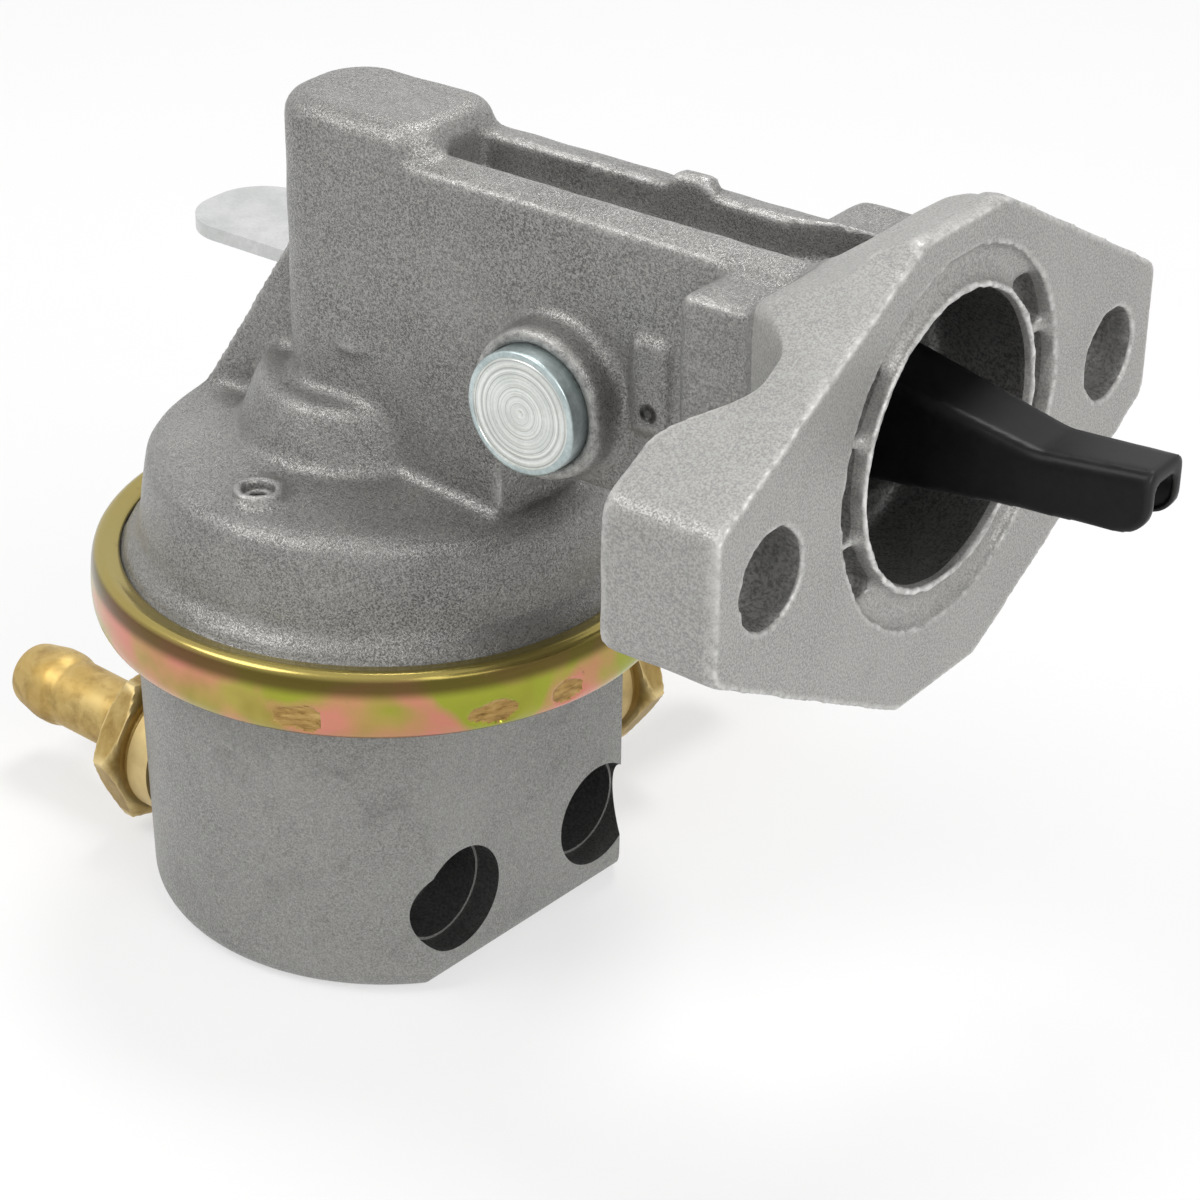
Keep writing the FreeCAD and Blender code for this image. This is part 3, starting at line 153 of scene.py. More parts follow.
class Surface(Nodes):
    """A node material, built up from its coordinates."""

    def __init__(self, name):
        self.material = bpy.data.materials.new(name)
        self.material.use_nodes = True
        super().__init__(self.material.node_tree)
        self.position = self.add("ShaderNodeTexCoord").outputs["Object"]

    def noise(self, size, detail=2.0, roughness=0.5, distortion=0.0, stretch=None):
        """Noise whose features are about size millimetres across."""
        node = self.add("ShaderNodeTexNoise")
        vector = self.position
        if stretch is not None:
            mapping = self.add("ShaderNodeMapping")
            self.put(mapping.inputs["Vector"], vector)
            mapping.inputs["Scale"].default_value = stretch
            vector = mapping.outputs["Vector"]
        self.put(node.inputs["Vector"], vector)
        node.inputs["Scale"].default_value = 1.0 / (size * MM)
        node.inputs["Detail"].default_value = detail
        node.inputs["Roughness"].default_value = roughness
        node.inputs["Distortion"].default_value = distortion
        return node.outputs["Fac"]

    def ramp(self, value, *stops):
        """Greys or colours at stops of a value, and what lies between them."""
        node = self.add("ShaderNodeValToRGB")
        self.put(node.inputs["Fac"], value)
        elements = node.color_ramp.elements
        while len(elements) < len(stops):
            elements.new(0.5)
        for element, (position, colour) in zip(elements, stops):
            element.position = position
            shown = (colour,) * 3 if isinstance(colour, float) else colour
            element.color = (*shown, 1.0)
        return node.outputs["Color"]

    def mix(self, share, first, second):
        """A share of the second colour over the first."""
        node = self.add("ShaderNodeMix", data_type="RGBA")
        self.put(node.inputs["Factor"], share)
        self.put(node.inputs[6], first)
        self.put(node.inputs[7], second)
        return node.outputs[2]

    def from_axis(self, centre, axis):
        """Distance in millimetres from a line along X, Y or Z through a point."""
        offset = self.add("ShaderNodeVectorMath", operation="SUBTRACT")
        self.put(offset.inputs[0], self.position)
        offset.inputs[1].default_value = Vector(centre) * MM
        flat = self.add("ShaderNodeVectorMath", operation="MULTIPLY")
        self.put(flat.inputs[0], offset.outputs[0])
        flat.inputs[1].default_value = {"X": (0, 1, 1), "Y": (1, 0, 1), "Z": (1, 1, 0)}[axis]
        length = self.add("ShaderNodeVectorMath", operation="LENGTH")
        self.put(length.inputs[0], flat.outputs[0])
        return self.math("MULTIPLY", length.outputs["Value"], 1.0 / MM)

    def from_point(self, centre):
        """Distance in millimetres from a point."""
        node = self.add("ShaderNodeVectorMath", operation="DISTANCE")
        self.put(node.inputs[0], self.position)
        node.inputs[1].default_value = Vector(centre) * MM
        return self.math("MULTIPLY", node.outputs["Value"], 1.0 / MM)

    def edges(self):
        """1 along outer edges and 0 on open faces, from the mesh's own curvature."""
        return self.between(self.add("ShaderNodeNewGeometry").outputs["Pointiness"], 0.515, 0.565)

    def bump(self, height, strength, depth, under=None):
        """Relief from a height of 0 to 1, which stands for depth millimetres."""
        node = self.add("ShaderNodeBump")
        node.inputs["Strength"].default_value = strength
        node.inputs["Distance"].default_value = depth * MM
        self.put(node.inputs["Height"], height)
        if under is not None:
            self.put(node.inputs["Normal"], under)
        return node.outputs["Normal"]

    def shader(self, colour, roughness, metallic=0.0, normal=None, **constants):
        """The surface's shader. constants are its other inputs, with _ for a space."""
        shader = self.add("ShaderNodeBsdfPrincipled")
        self.put(shader.inputs["Base Color"], colour)
        self.put(shader.inputs["Roughness"], roughness)
        self.put(shader.inputs["Metallic"], metallic)
        if normal is not None:
            self.put(shader.inputs["Normal"], normal)
        for name, value in constants.items():
            shader.inputs[name.replace("_", " ")].default_value = value
        return shader.outputs["BSDF"]

    def finish(self, shader):
        """The material that shows a shader."""
        self.put(self.add("ShaderNodeOutputMaterial").inputs["Surface"], shader)
        return self.material


def cast(
    name, dark, light, grain, metallic, roughness, relief,
    tint=(1.0, 0.985, 0.945), dimple=None, edge=0.35, smudged=0.15,
):
    """Die casting: a fine blasted grain with glints, soft mottling, and edges lightened by wear and a painted
    highlight.
    dimple is a small bowl, given by its centre and radius in mm, darkened inside with painted shade."""
    def tone(grey):
        return tuple(grey * t for t in tint)

    s = Surface(name)
    fine = s.noise(grain, 2.0, 0.7)
    coarse = s.noise(grain * 2.4, 2.0, 0.6)
    cloud = s.noise(14.0, 3.0, 0.55, 0.4)
    speckle = s.noise(grain * 5.0, 1.0, 0.5)
    grains = s.math("ADD", s.math("MULTIPLY", fine, 0.80), s.math("MULTIPLY", coarse, 0.20))
    colour = s.ramp(grains, (0.39, tone(dark)), (0.61, tone(light)))
    colour = s.mix(s.ramp(cloud, (0.3, 0.0), (0.75, 0.32)), colour, tone(light * 1.12))
    colour = s.mix(s.ramp(speckle, (0.73, 0.0), (0.80, 0.25)), colour, tone(dark * 0.5))
    smudges = s.noise(6.5, 4.0, 0.62, 0.6)
    colour = s.mix(s.ramp(smudges, (0.56, 0.0), (0.78, smudged)), colour, tone(dark * 0.6))
    if edge:
        # painted highlight, partly wear: a pale speckled colour along the convex edges
        edge_wear_and_highlight = s.math("MULTIPLY", s.edges(), s.ramp(speckle, (0.35, 0.25), (0.6, 1.0)))
        colour = s.mix(s.math("MULTIPLY", edge_wear_and_highlight, edge), colour, (0.78, 0.77, 0.75))
    normal = s.bump(grains, relief, 0.11)
    normal = s.bump(cloud, 0.35, 0.25, normal)
    if dimple is not None:
        centre, radius = dimple
        away = s.from_point(centre)
        normal = s.bump(s.between(away, radius * 0.35, radius, "SMOOTHSTEP"), 1.0, 1.2, normal)
        # painted shade: the bowl darkens towards its middle
        shade = s.ramp(s.math("DIVIDE", away, radius * 1.3), (0.45, 0.8), (0.95, 0.0))
        colour = s.mix(shade, colour, tone(dark * 0.25))
    rough = s.scaled(s.ramp(fine, (0.4, 0.0), (0.65, 1.0)), roughness + 0.10, roughness - 0.15)
    return s.finish(s.shader(colour, rough, metallic, normal))


# Heights in mm where the ring's colour changes: a painted dark reflection under the bead, and the bead
# itself.
DARK_REFLECTION_LOW, DARK_REFLECTION_HIGH = -41.7, -39.9
BEAD_LOW, BEAD_HIGH = -38.9, -38.3


def yellow_zinc():
    """Yellow chromate: olive gold with green drifts, rosy patches and fine handling marks."""
    s = Surface("yellow_zinc")
    patches = s.noise(17.0, 2.5, 0.55, 0.5)
    drift = s.noise(7.0, 2.0, 0.5)
    green = s.noise(23.0, 1.5, 0.5, 0.8)
    apart = s.add("ShaderNodeSeparateXYZ")
    s.put(apart.inputs["Vector"], s.position)
    height = apart.outputs["Z"]
    gold = s.ramp(drift, (0.3, (0.30, 0.235, 0.045)), (0.7, (0.44, 0.37, 0.085)))
    colour = s.mix(s.ramp(green, (0.45, 0.0), (0.62, 0.85)), gold, (0.33, 0.37, 0.035))
    rosy = s.math("ADD", s.math("MULTIPLY", patches, 0.8), s.math("MULTIPLY", drift, 0.2))
    rosy = s.ramp(rosy, (0.46, 0.0), (0.60, 1.0))
    colour = s.mix(s.math("MULTIPLY", rosy, 0.85), colour, (0.66, 0.225, 0.19))
    # a painted dark reflection: the bend below the top bead is painted dark brown, and the bead itself is
    # plain gold
    dark_reflection_band = s.between(height, DARK_REFLECTION_LOW * MM, DARK_REFLECTION_HIGH * MM, "SMOOTHSTEP")
    colour = s.mix(s.math("MULTIPLY", dark_reflection_band, 0.88), colour, (0.085, 0.055, 0.012))
    bead = s.between(height, BEAD_LOW * MM, BEAD_HIGH * MM)
    colour = s.mix(s.math("MULTIPLY", bead, 0.8), colour, (0.42, 0.34, 0.10))
    stains = s.noise(2.2, 4.0, 0.65)
    colour = s.mix(s.ramp(stains, (0.66, 0.0), (0.74, 0.5)), colour, (0.22, 0.15, 0.05))
    scratches = s.noise(1.2, 2.0, 0.6, 0.0, (0.25, 0.25, 2.5))
    normal = s.bump(scratches, 0.08, 0.05)
    normal = s.bump(patches, 0.25, 0.12, normal)
    rough = s.scaled(scratches, 0.14, 0.30)
    return s.finish(s.shader(colour, rough, 0.82, normal))


def worn_gold():
    """The brown rubbed marks where the ring was crimped."""
    s = Surface("crimp_mark")
    lines = s.noise(1.1, 4.0, 0.65, 0.2, (0.45, 0.45, 1.6))
    colour = s.ramp(
        lines, (0.28, (0.16, 0.085, 0.018)), (0.5, (0.40, 0.245, 0.075)), (0.72, (0.55, 0.38, 0.14)),
    )
    return s.finish(s.shader(colour, 0.42, 0.75, s.bump(lines, 0.4, 0.12)))


RING_PITCH = 0.42


def zinc(name, colour_low, colour_high, centre=None):
    """Clear zinc over steel: turned rings round a centre where one is given, else brushed."""
    s = Surface(name)
    cloud = s.noise(6.0, 3.0, 0.6, 0.4)
    fine = s.noise(0.5, 2.0, 0.6)
    share = s.math("ADD", s.math("MULTIPLY", cloud, 0.65), s.math("MULTIPLY", fine, 0.35))
    colour = s.ramp(share, (0.35, colour_low), (0.65, colour_high))
    normal = s.bump(fine, 0.15, 0.05)
    rough = s.scaled(cloud, 0.24, 0.46)
    if centre is not None:
        away = s.from_axis(centre, "Y")
        warped = s.math("ADD", away, s.math("MULTIPLY", s.noise(5.0, 1.0), 0.18))
        turning = s.add("ShaderNodeTexNoise", noise_dimensions="1D")
        s.put(turning.inputs["W"], warped)
        turning.inputs["Scale"].default_value = 1.0 / RING_PITCH
        turning.inputs["Detail"].default_value = 4.0
        turning.inputs["Roughness"].default_value = 0.75
        rings = turning.outputs["Fac"]
        colour = s.mix(s.ramp(rings, (0.34, 0.75), (0.50, 0.0)), colour, (0.34, 0.35, 0.34))
        colour = s.mix(s.ramp(rings, (0.55, 0.0), (0.68, 0.6)), colour, (0.92, 0.93, 0.90))
        normal = s.bump(rings, 0.5, 0.10, normal)
        rough = s.scaled(rings, 0.42, 0.24)
    else:
        brushed = s.noise(0.7, 3.0, 0.6, 0.0, (0.15, 1.0, 1.0))
        normal = s.bump(brushed, 0.12, 0.04, normal)
    return s.finish(s.shader(colour, rough, 0.8, normal))


def brass(name, worn, edge, shade):
    """Turned brass: fine tool lines, tarnish in patches and brighter edges. A lower shade is darker."""
    def tone(*colour):
        return tuple(part * shade for part in colour)

    s = Surface(name)
    cloud = s.noise(5.5, 3.0, 0.6, 0.5)
    fine = s.noise(0.45, 3.0, 0.6)
    colour = s.ramp(cloud, (0.3, tone(0.52, 0.34, 0.095)), (0.7, tone(0.70, 0.52, 0.21)))
    stain = s.math("ADD", s.math("MULTIPLY", s.noise(3.8, 2.5, 0.6, 0.3), 0.8), s.math("MULTIPLY", fine, 0.2))
    colour = s.mix(s.ramp(stain, (0.50 - worn, 0.0), (0.76 - worn, 0.8)), colour, (0.22, 0.13, 0.035))
    colour = s.mix(s.math("MULTIPLY", s.edges(), edge), colour, (0.95, 0.78, 0.42))
    normal = s.bump(fine, 0.12, 0.04)
    normal = s.bump(stain, 0.10, 0.04, normal)
    rough = s.scaled(stain, 0.36, 0.60)
    return s.finish(s.shader(colour, rough, 0.92, normal))


def plain(name, low, high, roughness, metallic, grain=0.6, relief=0.15, edge=None, **more):
    """Bare steel, black steel or rubber: two near tones under a fine grain. edge is a worn edge's colour."""
    s = Surface(name)
    fine = s.noise(grain, 3.0, 0.6)
    cloud = s.noise(9.0, 3.0, 0.55, 0.3)
    share = s.math("ADD", s.math("MULTIPLY", cloud, 0.6), s.math("MULTIPLY", fine, 0.4))
    colour = s.ramp(share, (0.35, low), (0.65, high))
    if edge is not None:
        colour = s.mix(s.math("MULTIPLY", s.edges(), 0.5), colour, edge)
    normal = s.bump(fine, relief, 0.06)
    normal = s.bump(cloud, 0.2, 0.15, normal)
    rough = s.scaled(share, roughness - 0.08, roughness + 0.1)
    return s.finish(s.shader(colour, rough, metallic, normal, **more))


def cloth():
    """Rubber-coated weave."""
    s = Surface("diaphragm_cloth")
    weave = s.math(
        "MULTIPLY",
        s.noise(0.35, 1.0, 0.5, 0.0, (0.2, 1.0, 1.0)),
        s.noise(0.35, 1.0, 0.5, 0.0, (1.0, 0.2, 1.0)),
    )
    colour = s.ramp(weave, (0.1, (0.022, 0.018, 0.016)), (0.5, (0.075, 0.060, 0.050)))
    return s.finish(s.shader(colour, 0.7, 0.0, s.bump(weave, 0.6, 0.12)))


NECK_DIMPLE = ((-36.3, -10.6, -1.0), 1.35)
casting = cast(
    "cast_body", dark=0.085, light=0.34, grain=0.25, metallic=0.42, roughness=0.36, relief=1.0,
    dimple=NECK_DIMPLE, edge=0.5,
)
flange_cast = cast(
    "cast_flange", dark=0.22, light=0.41, grain=0.28, metallic=0.22, roughness=0.44, relief=0.6, edge=0.95,
)
# The bore's inside: a darker, coarser cast skin, made darker still with painted shade. The vent hole's floor
# takes it too.
shaded_bore_cast = cast(
    "cast_bore_shaded", dark=0.018, light=0.13, grain=0.40, metallic=0.2, roughness=0.42, relief=1.0, edge=0.0,
)
bolt_cast = cast(
    "cast_bolt_hole", dark=0.10, light=0.26, grain=0.50, metallic=0.2, roughness=0.50, relief=0.9, edge=0.0,
)
lower_cast = cast(
    "cast_lower", dark=0.17, light=0.33, grain=0.25, metallic=0.20, roughness=0.46, relief=0.45,
    tint=(1.0, 0.995, 0.95), edge=0.0, smudged=0.45,
)
# Walls and floors of the unused ports: near black, painted shade inside the holes.
shaded_hole_cast = cast(
    "cast_hole_shaded", dark=0.02, light=0.07, grain=0.40, metallic=0.1, roughness=0.55, relief=0.5,
    tint=(1.0, 1.0, 0.97), edge=0.0,
)
black = plain(
    "black_steel", (0.0025, 0.0025, 0.003), (0.007, 0.007, 0.0075), roughness=0.34, metallic=0.0,
    grain=0.9, relief=0.10, edge=(0.05, 0.048, 0.046), Specular_IOR_Level=0.16,
)
steel = plain("bare_steel", (0.30, 0.30, 0.31), (0.48, 0.48, 0.49), roughness=0.34, metallic=0.9)
wire = plain("spring_steel", (0.22, 0.22, 0.23), (0.42, 0.42, 0.43), roughness=0.30, metallic=0.9)
rubber = plain(
    "black_rubber", (0.012, 0.012, 0.012), (0.028, 0.027, 0.026), roughness=0.62, metallic=0.0,
    grain=0.5, relief=0.2,
)
zinc_plate = zinc("pale_zinc", (0.50, 0.515, 0.505), (0.65, 0.655, 0.65))
zinc_pin = zinc("turned_zinc", (0.62, 0.65, 0.62), (0.80, 0.82, 0.79), centre=(PIN_X, 0, PIN_Z))
# The pin head's side wall: greener zinc, made darker with painted shade.
shaded_zinc_rim = zinc("shaded_zinc_rim", (0.34, 0.41, 0.41), (0.58, 0.66, 0.66))
brass_barb = brass("brass_barb", worn=0.02, edge=0.3, shade=0.80)
brass_nut = brass("brass_nut", worn=0.05, edge=0.5, shade=0.62)
gold = yellow_zinc()
mark = worn_gold()
fabric = cloth()

NODE_MATERIALS = {
    "upper_housing": casting, "lower_housing": lower_cast, "crimp_ring": gold,
    "rocker_pin": zinc_pin, "arm_washers": steel, "rocker_arm": black, "link_lever": steel,
    "pull_rod": steel, "upper_diaphragm_plate": zinc_plate, "lower_diaphragm_plate": zinc_plate,
    "diaphragm": fabric, "rod_nut": zinc_plate, "rod_seal": rubber, "seal_retainer": zinc_plate,
    "diaphragm_spring": wire, "rocker_spring": wire, "inlet_fitting": brass_barb,
    "outlet_fitting": brass_barb, "inlet_valve_seat": brass_nut, "outlet_valve_seat": brass_nut,
    "inlet_valve_disc": rubber, "outlet_valve_disc": rubber, "inlet_valve_retainer": brass_nut,
    "outlet_valve_retainer": brass_nut, "inlet_valve_spring": wire, "outlet_valve_spring": wire,
    "primer_lever": zinc_plate, "primer_shaft": steel, "primer_spring": wire,
}
for name, material in NODE_MATERIALS.items():
    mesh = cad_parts[name].data
    mesh.materials.clear()
    mesh.materials.append(material)


def zone(name, material, test):
    """Gives some faces of a CAD node their own material. The test picks them by centre, in mm, and normal."""
    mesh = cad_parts[name].data
    mesh.materials.append(material)
    index = len(mesh.materials) - 1
    for polygon in mesh.polygons:
        if test(polygon.center / MM, polygon.normal):
            polygon.material_index = index


def in_blind_hole(centre, normal):
    """True for the walls and floors of the two unused ports, but for the step near their mouths."""
    out = centre.x - AXIS_X
    x = out * math.cos(LOWER_TURN) + centre.y * math.sin(LOWER_TURN)
    y = -out * math.sin(LOWER_TURN) + centre.y * math.cos(LOWER_TURN)
    if not BLIND_FLOOR < x < FLAT_FROM_AXIS - NEAR:
        return False
    if abs(x - BLIND_STEP) < 5 * NEAR and abs(normal.x) > 0.9:
        return False
    from_centre = min(math.hypot(y - hole, centre.z - PORT_Z) for hole in BLIND_HOLES_Y)
    return from_centre < BLIND_RADIUS + 2 * NEAR


# painted shade: the unused ports' walls and floors take the near-black material
zone("lower_housing", shaded_hole_cast, in_blind_hole)


# Dressed pieces
def mesh_piece(name, build, materials, replaced, smooth):
    """A piece of the housing from one bmesh, smooth but for edges of more than smooth degrees."""
    shape = bmesh.new()
    build(shape)
    bmesh.ops.remove_doubles(shape, verts=shape.verts, dist=1e-7)
    bmesh.ops.recalc_face_normals(shape, faces=shape.faces)
    mesh = bpy.data.meshes.new(name)
    shape.to_mesh(mesh)
    shape.free()
    for material in materials:
        mesh.materials.append(material)
    for polygon in mesh.polygons:
        polygon.use_smooth = True
    mesh.set_sharp_from_angle(angle=math.radians(smooth))
    return place(name, mesh, "housing", replaced)


def place(name, mesh, body, replaced):
    """A piece of the dressed part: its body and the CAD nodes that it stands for."""
    piece = add_object(name, mesh)
    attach(piece, body)
    if replaced:
        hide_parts(*replaced)
    return piece


def basis(origin, axis, first):
    """The frame of a turned piece: its origin, its axis and where its angle starts."""
    w = Vector(axis).normalized()
    u = Vector(first)
    u = (u - w * u.dot(w)).normalized()
    return Vector(origin), u, w.cross(u), w


def upright(x, y, z):
    """The frame of a piece that stands on a point in mm."""
    return basis(Vector((x, y, z)) * MM, (0, 0, 1), (1, 0, 0))


def crosswise(x, y, z):
    """The frame of a piece that lies along Y from a point in mm."""
    return basis(Vector((x, y, z)) * MM, (0, 1, 0), (1, 0, 0))


def loop_surface(shape, at, rows, count, radius=None, choose=None, closed=True):
    """Sweeps rows of (radius, height) in mm round an axis, in count steps.
    radius may change a row with the angle, and choose gives each face its material.
    A closed surface joins its last row to its first."""
    origin, u, v, w = at
    grid = []
    for index, (r, h) in enumerate(rows):
        ring = []
        for k in range(count):
            angle = 2 * math.pi * k / count
            r_here, h_here = (r, h) if radius is None else radius(index, r, h, angle)
            out = u * math.cos(angle) + v * math.sin(angle)
            ring.append(shape.verts.new(origin + (out * r_here + w * h_here) * MM))
        grid.append(ring)
    total = len(rows)
    for i in range(total if closed else total - 1):
        j = (i + 1) % total
        for k in range(count):
            m = (k + 1) % count
            corners = [grid[i][k], grid[i][m], grid[j][m], grid[j][k]]
            if len({tuple(round(x, 8) for x in c.co) for c in corners}) < 3:
                continue
            face = shape.faces.new(corners)
            if choose is not None:
                face.material_index = choose(i, 2 * math.pi * (k + 0.5) / count)


def smoothed(points):
    """Points on a soft curve through a row of points, four to each span."""
    out = []
    for i in range(len(points) - 1):
        p0 = points[max(i - 1, 0)]
        p1, p2 = points[i], points[i + 1]
        p3 = points[min(i + 2, len(points) - 1)]
        for t in (0.0, 0.25, 0.5, 0.75):
            out.append(tuple(
                0.5 * (2 * b + (c - a) * t + (2 * a - 5 * b + 4 * c - d) * t * t
                       + (3 * b - a - 3 * c + d) * t ** 3)
                for a, b, c, d in zip(p0, p1, p2, p3)
            ))
    out.append(points[-1])
    return out


def box(shape, low, high, edge):
    """A box between two corners in mm, with edges rounded by edge mm."""
    made = bmesh.ops.create_cube(shape, size=1.0)["verts"]
    for vert in made:
        vert.co = Vector([
            (a + b) / 2 + c * (b - a) for a, b, c in zip(low, high, vert.co)
        ]) * MM
    edges = list({e for v in made for e in v.link_edges})
    bmesh.ops.bevel(shape, geom=edges, offset=edge * MM, segments=3, profile=0.5, affect="EDGES")


def ball(shape, centre, radii):
    """An ellipsoid in mm."""
    made = bmesh.ops.create_uvsphere(shape, u_segments=24, v_segments=14, radius=1.0)["verts"]
    for vert in made:
        vert.co = Vector([m + c * r for m, c, r in zip(centre, vert.co, radii)]) * MM


def softened(name, node, voxel, passes, materials, choose, body, move, extra=None):
    """A CAD node made again from voxels, which gives it the soft edges of the real piece.
    extra adds volumes before that, move shifts each point after it, and choose gives each face its
    material. Both take a place in mm and a normal."""
    shape = bmesh.new()
    shape.from_mesh(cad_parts[node].data)
    bmesh.ops.remove_doubles(shape, verts=shape.verts, dist=1e-6)
    if extra is not None:
        extra(shape)
    mesh = bpy.data.meshes.new(name + "_block")
    shape.to_mesh(mesh)
    shape.free()
    block = add_object(name + "_block", mesh)
    remesh = block.modifiers.new("voxels", "REMESH")
    remesh.mode = "VOXEL"
    remesh.voxel_size = voxel * MM
    ready = block.evaluated_get(bpy.context.evaluated_depsgraph_get())
    block.data = bpy.data.meshes.new_from_object(ready)
    block.modifiers.remove(remesh)
    normals = [vert.normal.copy() for vert in block.data.vertices]
    for vert, normal in zip(block.data.vertices, normals):
        vert.co = move(vert.co / MM, normal) * MM
    smooth = block.modifiers.new("soft", "SMOOTH")
    smooth.factor = 0.5
    smooth.iterations = passes
    ready = block.evaluated_get(bpy.context.evaluated_depsgraph_get())
    made = bpy.data.meshes.new_from_object(ready)
    made.name = name
    bpy.data.objects.remove(block)
    made.materials.clear()
    for material in materials:
        made.materials.append(material)
    for polygon in made.polygons:
        polygon.use_smooth = True
        polygon.material_index = choose(polygon.center / MM, polygon.normal)
    return place(name, made, body, [node])


def smoothstep(start, end, value):
    share = min(1.0, max(0.0, (value - start) / (end - start)))
    return share * share * (3.0 - 2.0 * share)


# The upper casting. x is 0 at the flange's face and falls towards the pump. The recess in that face
# is darker than the flange, in the bolt holes' material.
BODY, FLANGE, BORE, BOLT_HOLE = range(4)
BOLT_Y = 37.5
BOLT_REACH = 6.6
BORE_X = (-40.0, -1.2)
THROAT_X, THROAT_TOP = -14.6, 13.5
RECESS_X = (-6.5, -1.9)
RECESS_RADIUS = 23.6
FLANGE_BACK = -15.6


def casting_zone(c, n):
    """The material zone of a place on the upper casting."""
    from_bore = math.hypot(c.y, c.z - BORE_HEIGHT)
    faces_out = c.y * n.y + (c.z - BORE_HEIGHT) * n.z > 0.25 * from_bore
    under_channel = c.x > THROAT_X or c.z < THROAT_TOP
    in_bore = BORE_X[0] < c.x < BORE_X[1] and from_bore < BORE_RADIUS + 0.35
    if in_bore and not faces_out and under_channel:
        return BORE
    if c.x < -0.4 and abs(n.x) < 0.75 and math.hypot(abs(c.y) - BOLT_Y, c.z) < BOLT_REACH:
        return BOLT_HOLE
    if RECESS_X[0] < c.x < RECESS_X[1] and from_bore < RECESS_RADIUS:
        return BOLT_HOLE
    return FLANGE if c.x > FLANGE_BACK else BODY


def casting_details(shape):
    """The blended bar beside the pin boss and the lens-shaped swelling on the tower."""
    box(shape, (-39.2, -10.9, -4.0), (-33.6, -8.0, 8.5), 0.7)
    ball(shape, (-84.4, -9.2, -6.0), (3.6, 1.5, 1.3))


# The flange is thinned from behind, away from the block, and less and less towards the lugs.
THINNED_X = (-16.4, -5.2)
BLOCK_HALF_WIDTH, BLOCK_TOP, BLOCK_FOOT = 18.6, 21.4, -15.5
THINNING = 0.80
SLOPE = 8.5
LUG_Y = (29.5, 40.5)
WAVE_SIZE, WAVE_DEPTH = 5.5, 0.32


def casting_shape(c, n):
    """Thins the flange between its two lugs, as the casting does, and gives the skin a slight wave."""
    x, y, z = c
    back, front = THINNED_X
    if back < x < front:
        beside = max(0.0, abs(y) - BLOCK_HALF_WIDTH)
        from_block = math.hypot(beside, max(0.0, z - BLOCK_TOP, BLOCK_FOOT - z))
        share = THINNING * smoothstep(0.0, SLOPE, from_block) * smoothstep(LUG_Y[1], LUG_Y[0], abs(y))
        x = front + (x - front) * (1.0 - share)
    here = Vector((x, y, z))
    if x > -0.8 and n.x > 0.8:
        return here  # the flange's face stays flat
    wave = 0.5 * noise.noise(here / WAVE_SIZE) - 0.5
    return here + n * (wave * WAVE_DEPTH)


softened(
    "upper_casting", "upper_housing", 0.77, 2, [casting, flange_cast, shaded_bore_cast, bolt_cast],
    casting_zone, "housing", casting_shape, casting_details,
)

# The arm: its channel opens by CHANNEL_DEEPER between two places along the arm.
CHANNEL_DEEPER = 0.75
CHANNEL_X = (8.0, 15.0)


def arm_shape(c, n):
    """Opens the arm's channel towards its tip, where the pressing is thinner."""
    from_middle = abs(c.y)
    faces_in = n.y * (1.0 if c.y > 0 else -1.0) < -0.35
    if from_middle < 2.6 and (faces_in or n.z < -0.5 and from_middle < 1.7):
        return c - n * (CHANNEL_DEEPER * smoothstep(*CHANNEL_X, c.x))
    return c


softened("pressed_arm", "rocker_arm", 0.42, 3, [black], lambda c, n: 0, "rocker", arm_shape)


# The rocker pin: a turned head with rings of the tool, a rim step and a soft edge.
def pin_rows():
    """Rows of (radius, height) from the middle of the head's face to the far end."""
    rows = [(0.0, 0.28), (0.25, 0.26), (0.45, 0.10)]
    r = 0.6
    k = 0
    while r < 6.9:
        depth = 0.055 * math.sin(k * 2.1) ** 2 + 0.03 * math.sin(k * 0.7)
        rows.append((r, 0.10 + depth))
        r += 0.14
        k += 1
    rows += [(7.0, 0.13), (7.08, 0.24), (7.22, 0.24), (7.30, 0.06), (7.55, 0.0), (7.8, 0.04)]
    rows += [(8.15 - 0.4 * (1 - math.sin(a)), 0.42 - 0.4 * math.cos(a)) for a in (0.5, 0.85, 1.2, 1.57)]
    rows += [(8.15, 3.9), (8.05, 4.0), (5.0, 4.0), (5.0, 29.2), (4.8, 29.4), (0.0, 29.4)]
    return rows


pin_profile = pin_rows()
rim_start = next(i for i, (r, h) in enumerate(pin_profile) if r > 7.25)
# from rim_start on, the head's side wall takes the greener zinc darkened with painted shade
mesh_piece(
    "turned_pin",
    lambda shape: loop_surface(
        shape, crosswise(PIN_X, PIN_Y, PIN_Z), pin_profile, 144,
        closed=False, choose=lambda i, a: 1 if i >= rim_start else 0,
    ),
    [zinc_pin, shaded_zinc_rim], ["rocker_pin"], 50.0,
)


# The vent's raised rim, from the hole's floor, dark with painted shade, outwards.
VENT_AT = (-88.0, -24.5, -23.3)
vent_rows = [
    (0.0, -2.2), (1.15, -2.2), (1.15, 0.05), (1.25, 0.35), (1.5, 0.5), (1.9, 0.5), (2.4, 0.38),
    (3.0, 0.1), (3.6, -0.35), (3.6, -0.9), (0.0, -2.6),
]
mesh_piece(
    "vent_rim",
    lambda shape: loop_surface(
        shape, upright(*VENT_AT), vent_rows, 48,
        closed=False, choose=lambda i, a: 1 if i < 2 or i > 8 else 0,
    ),
    [casting, shaded_bore_cast], None, 32.0,
)


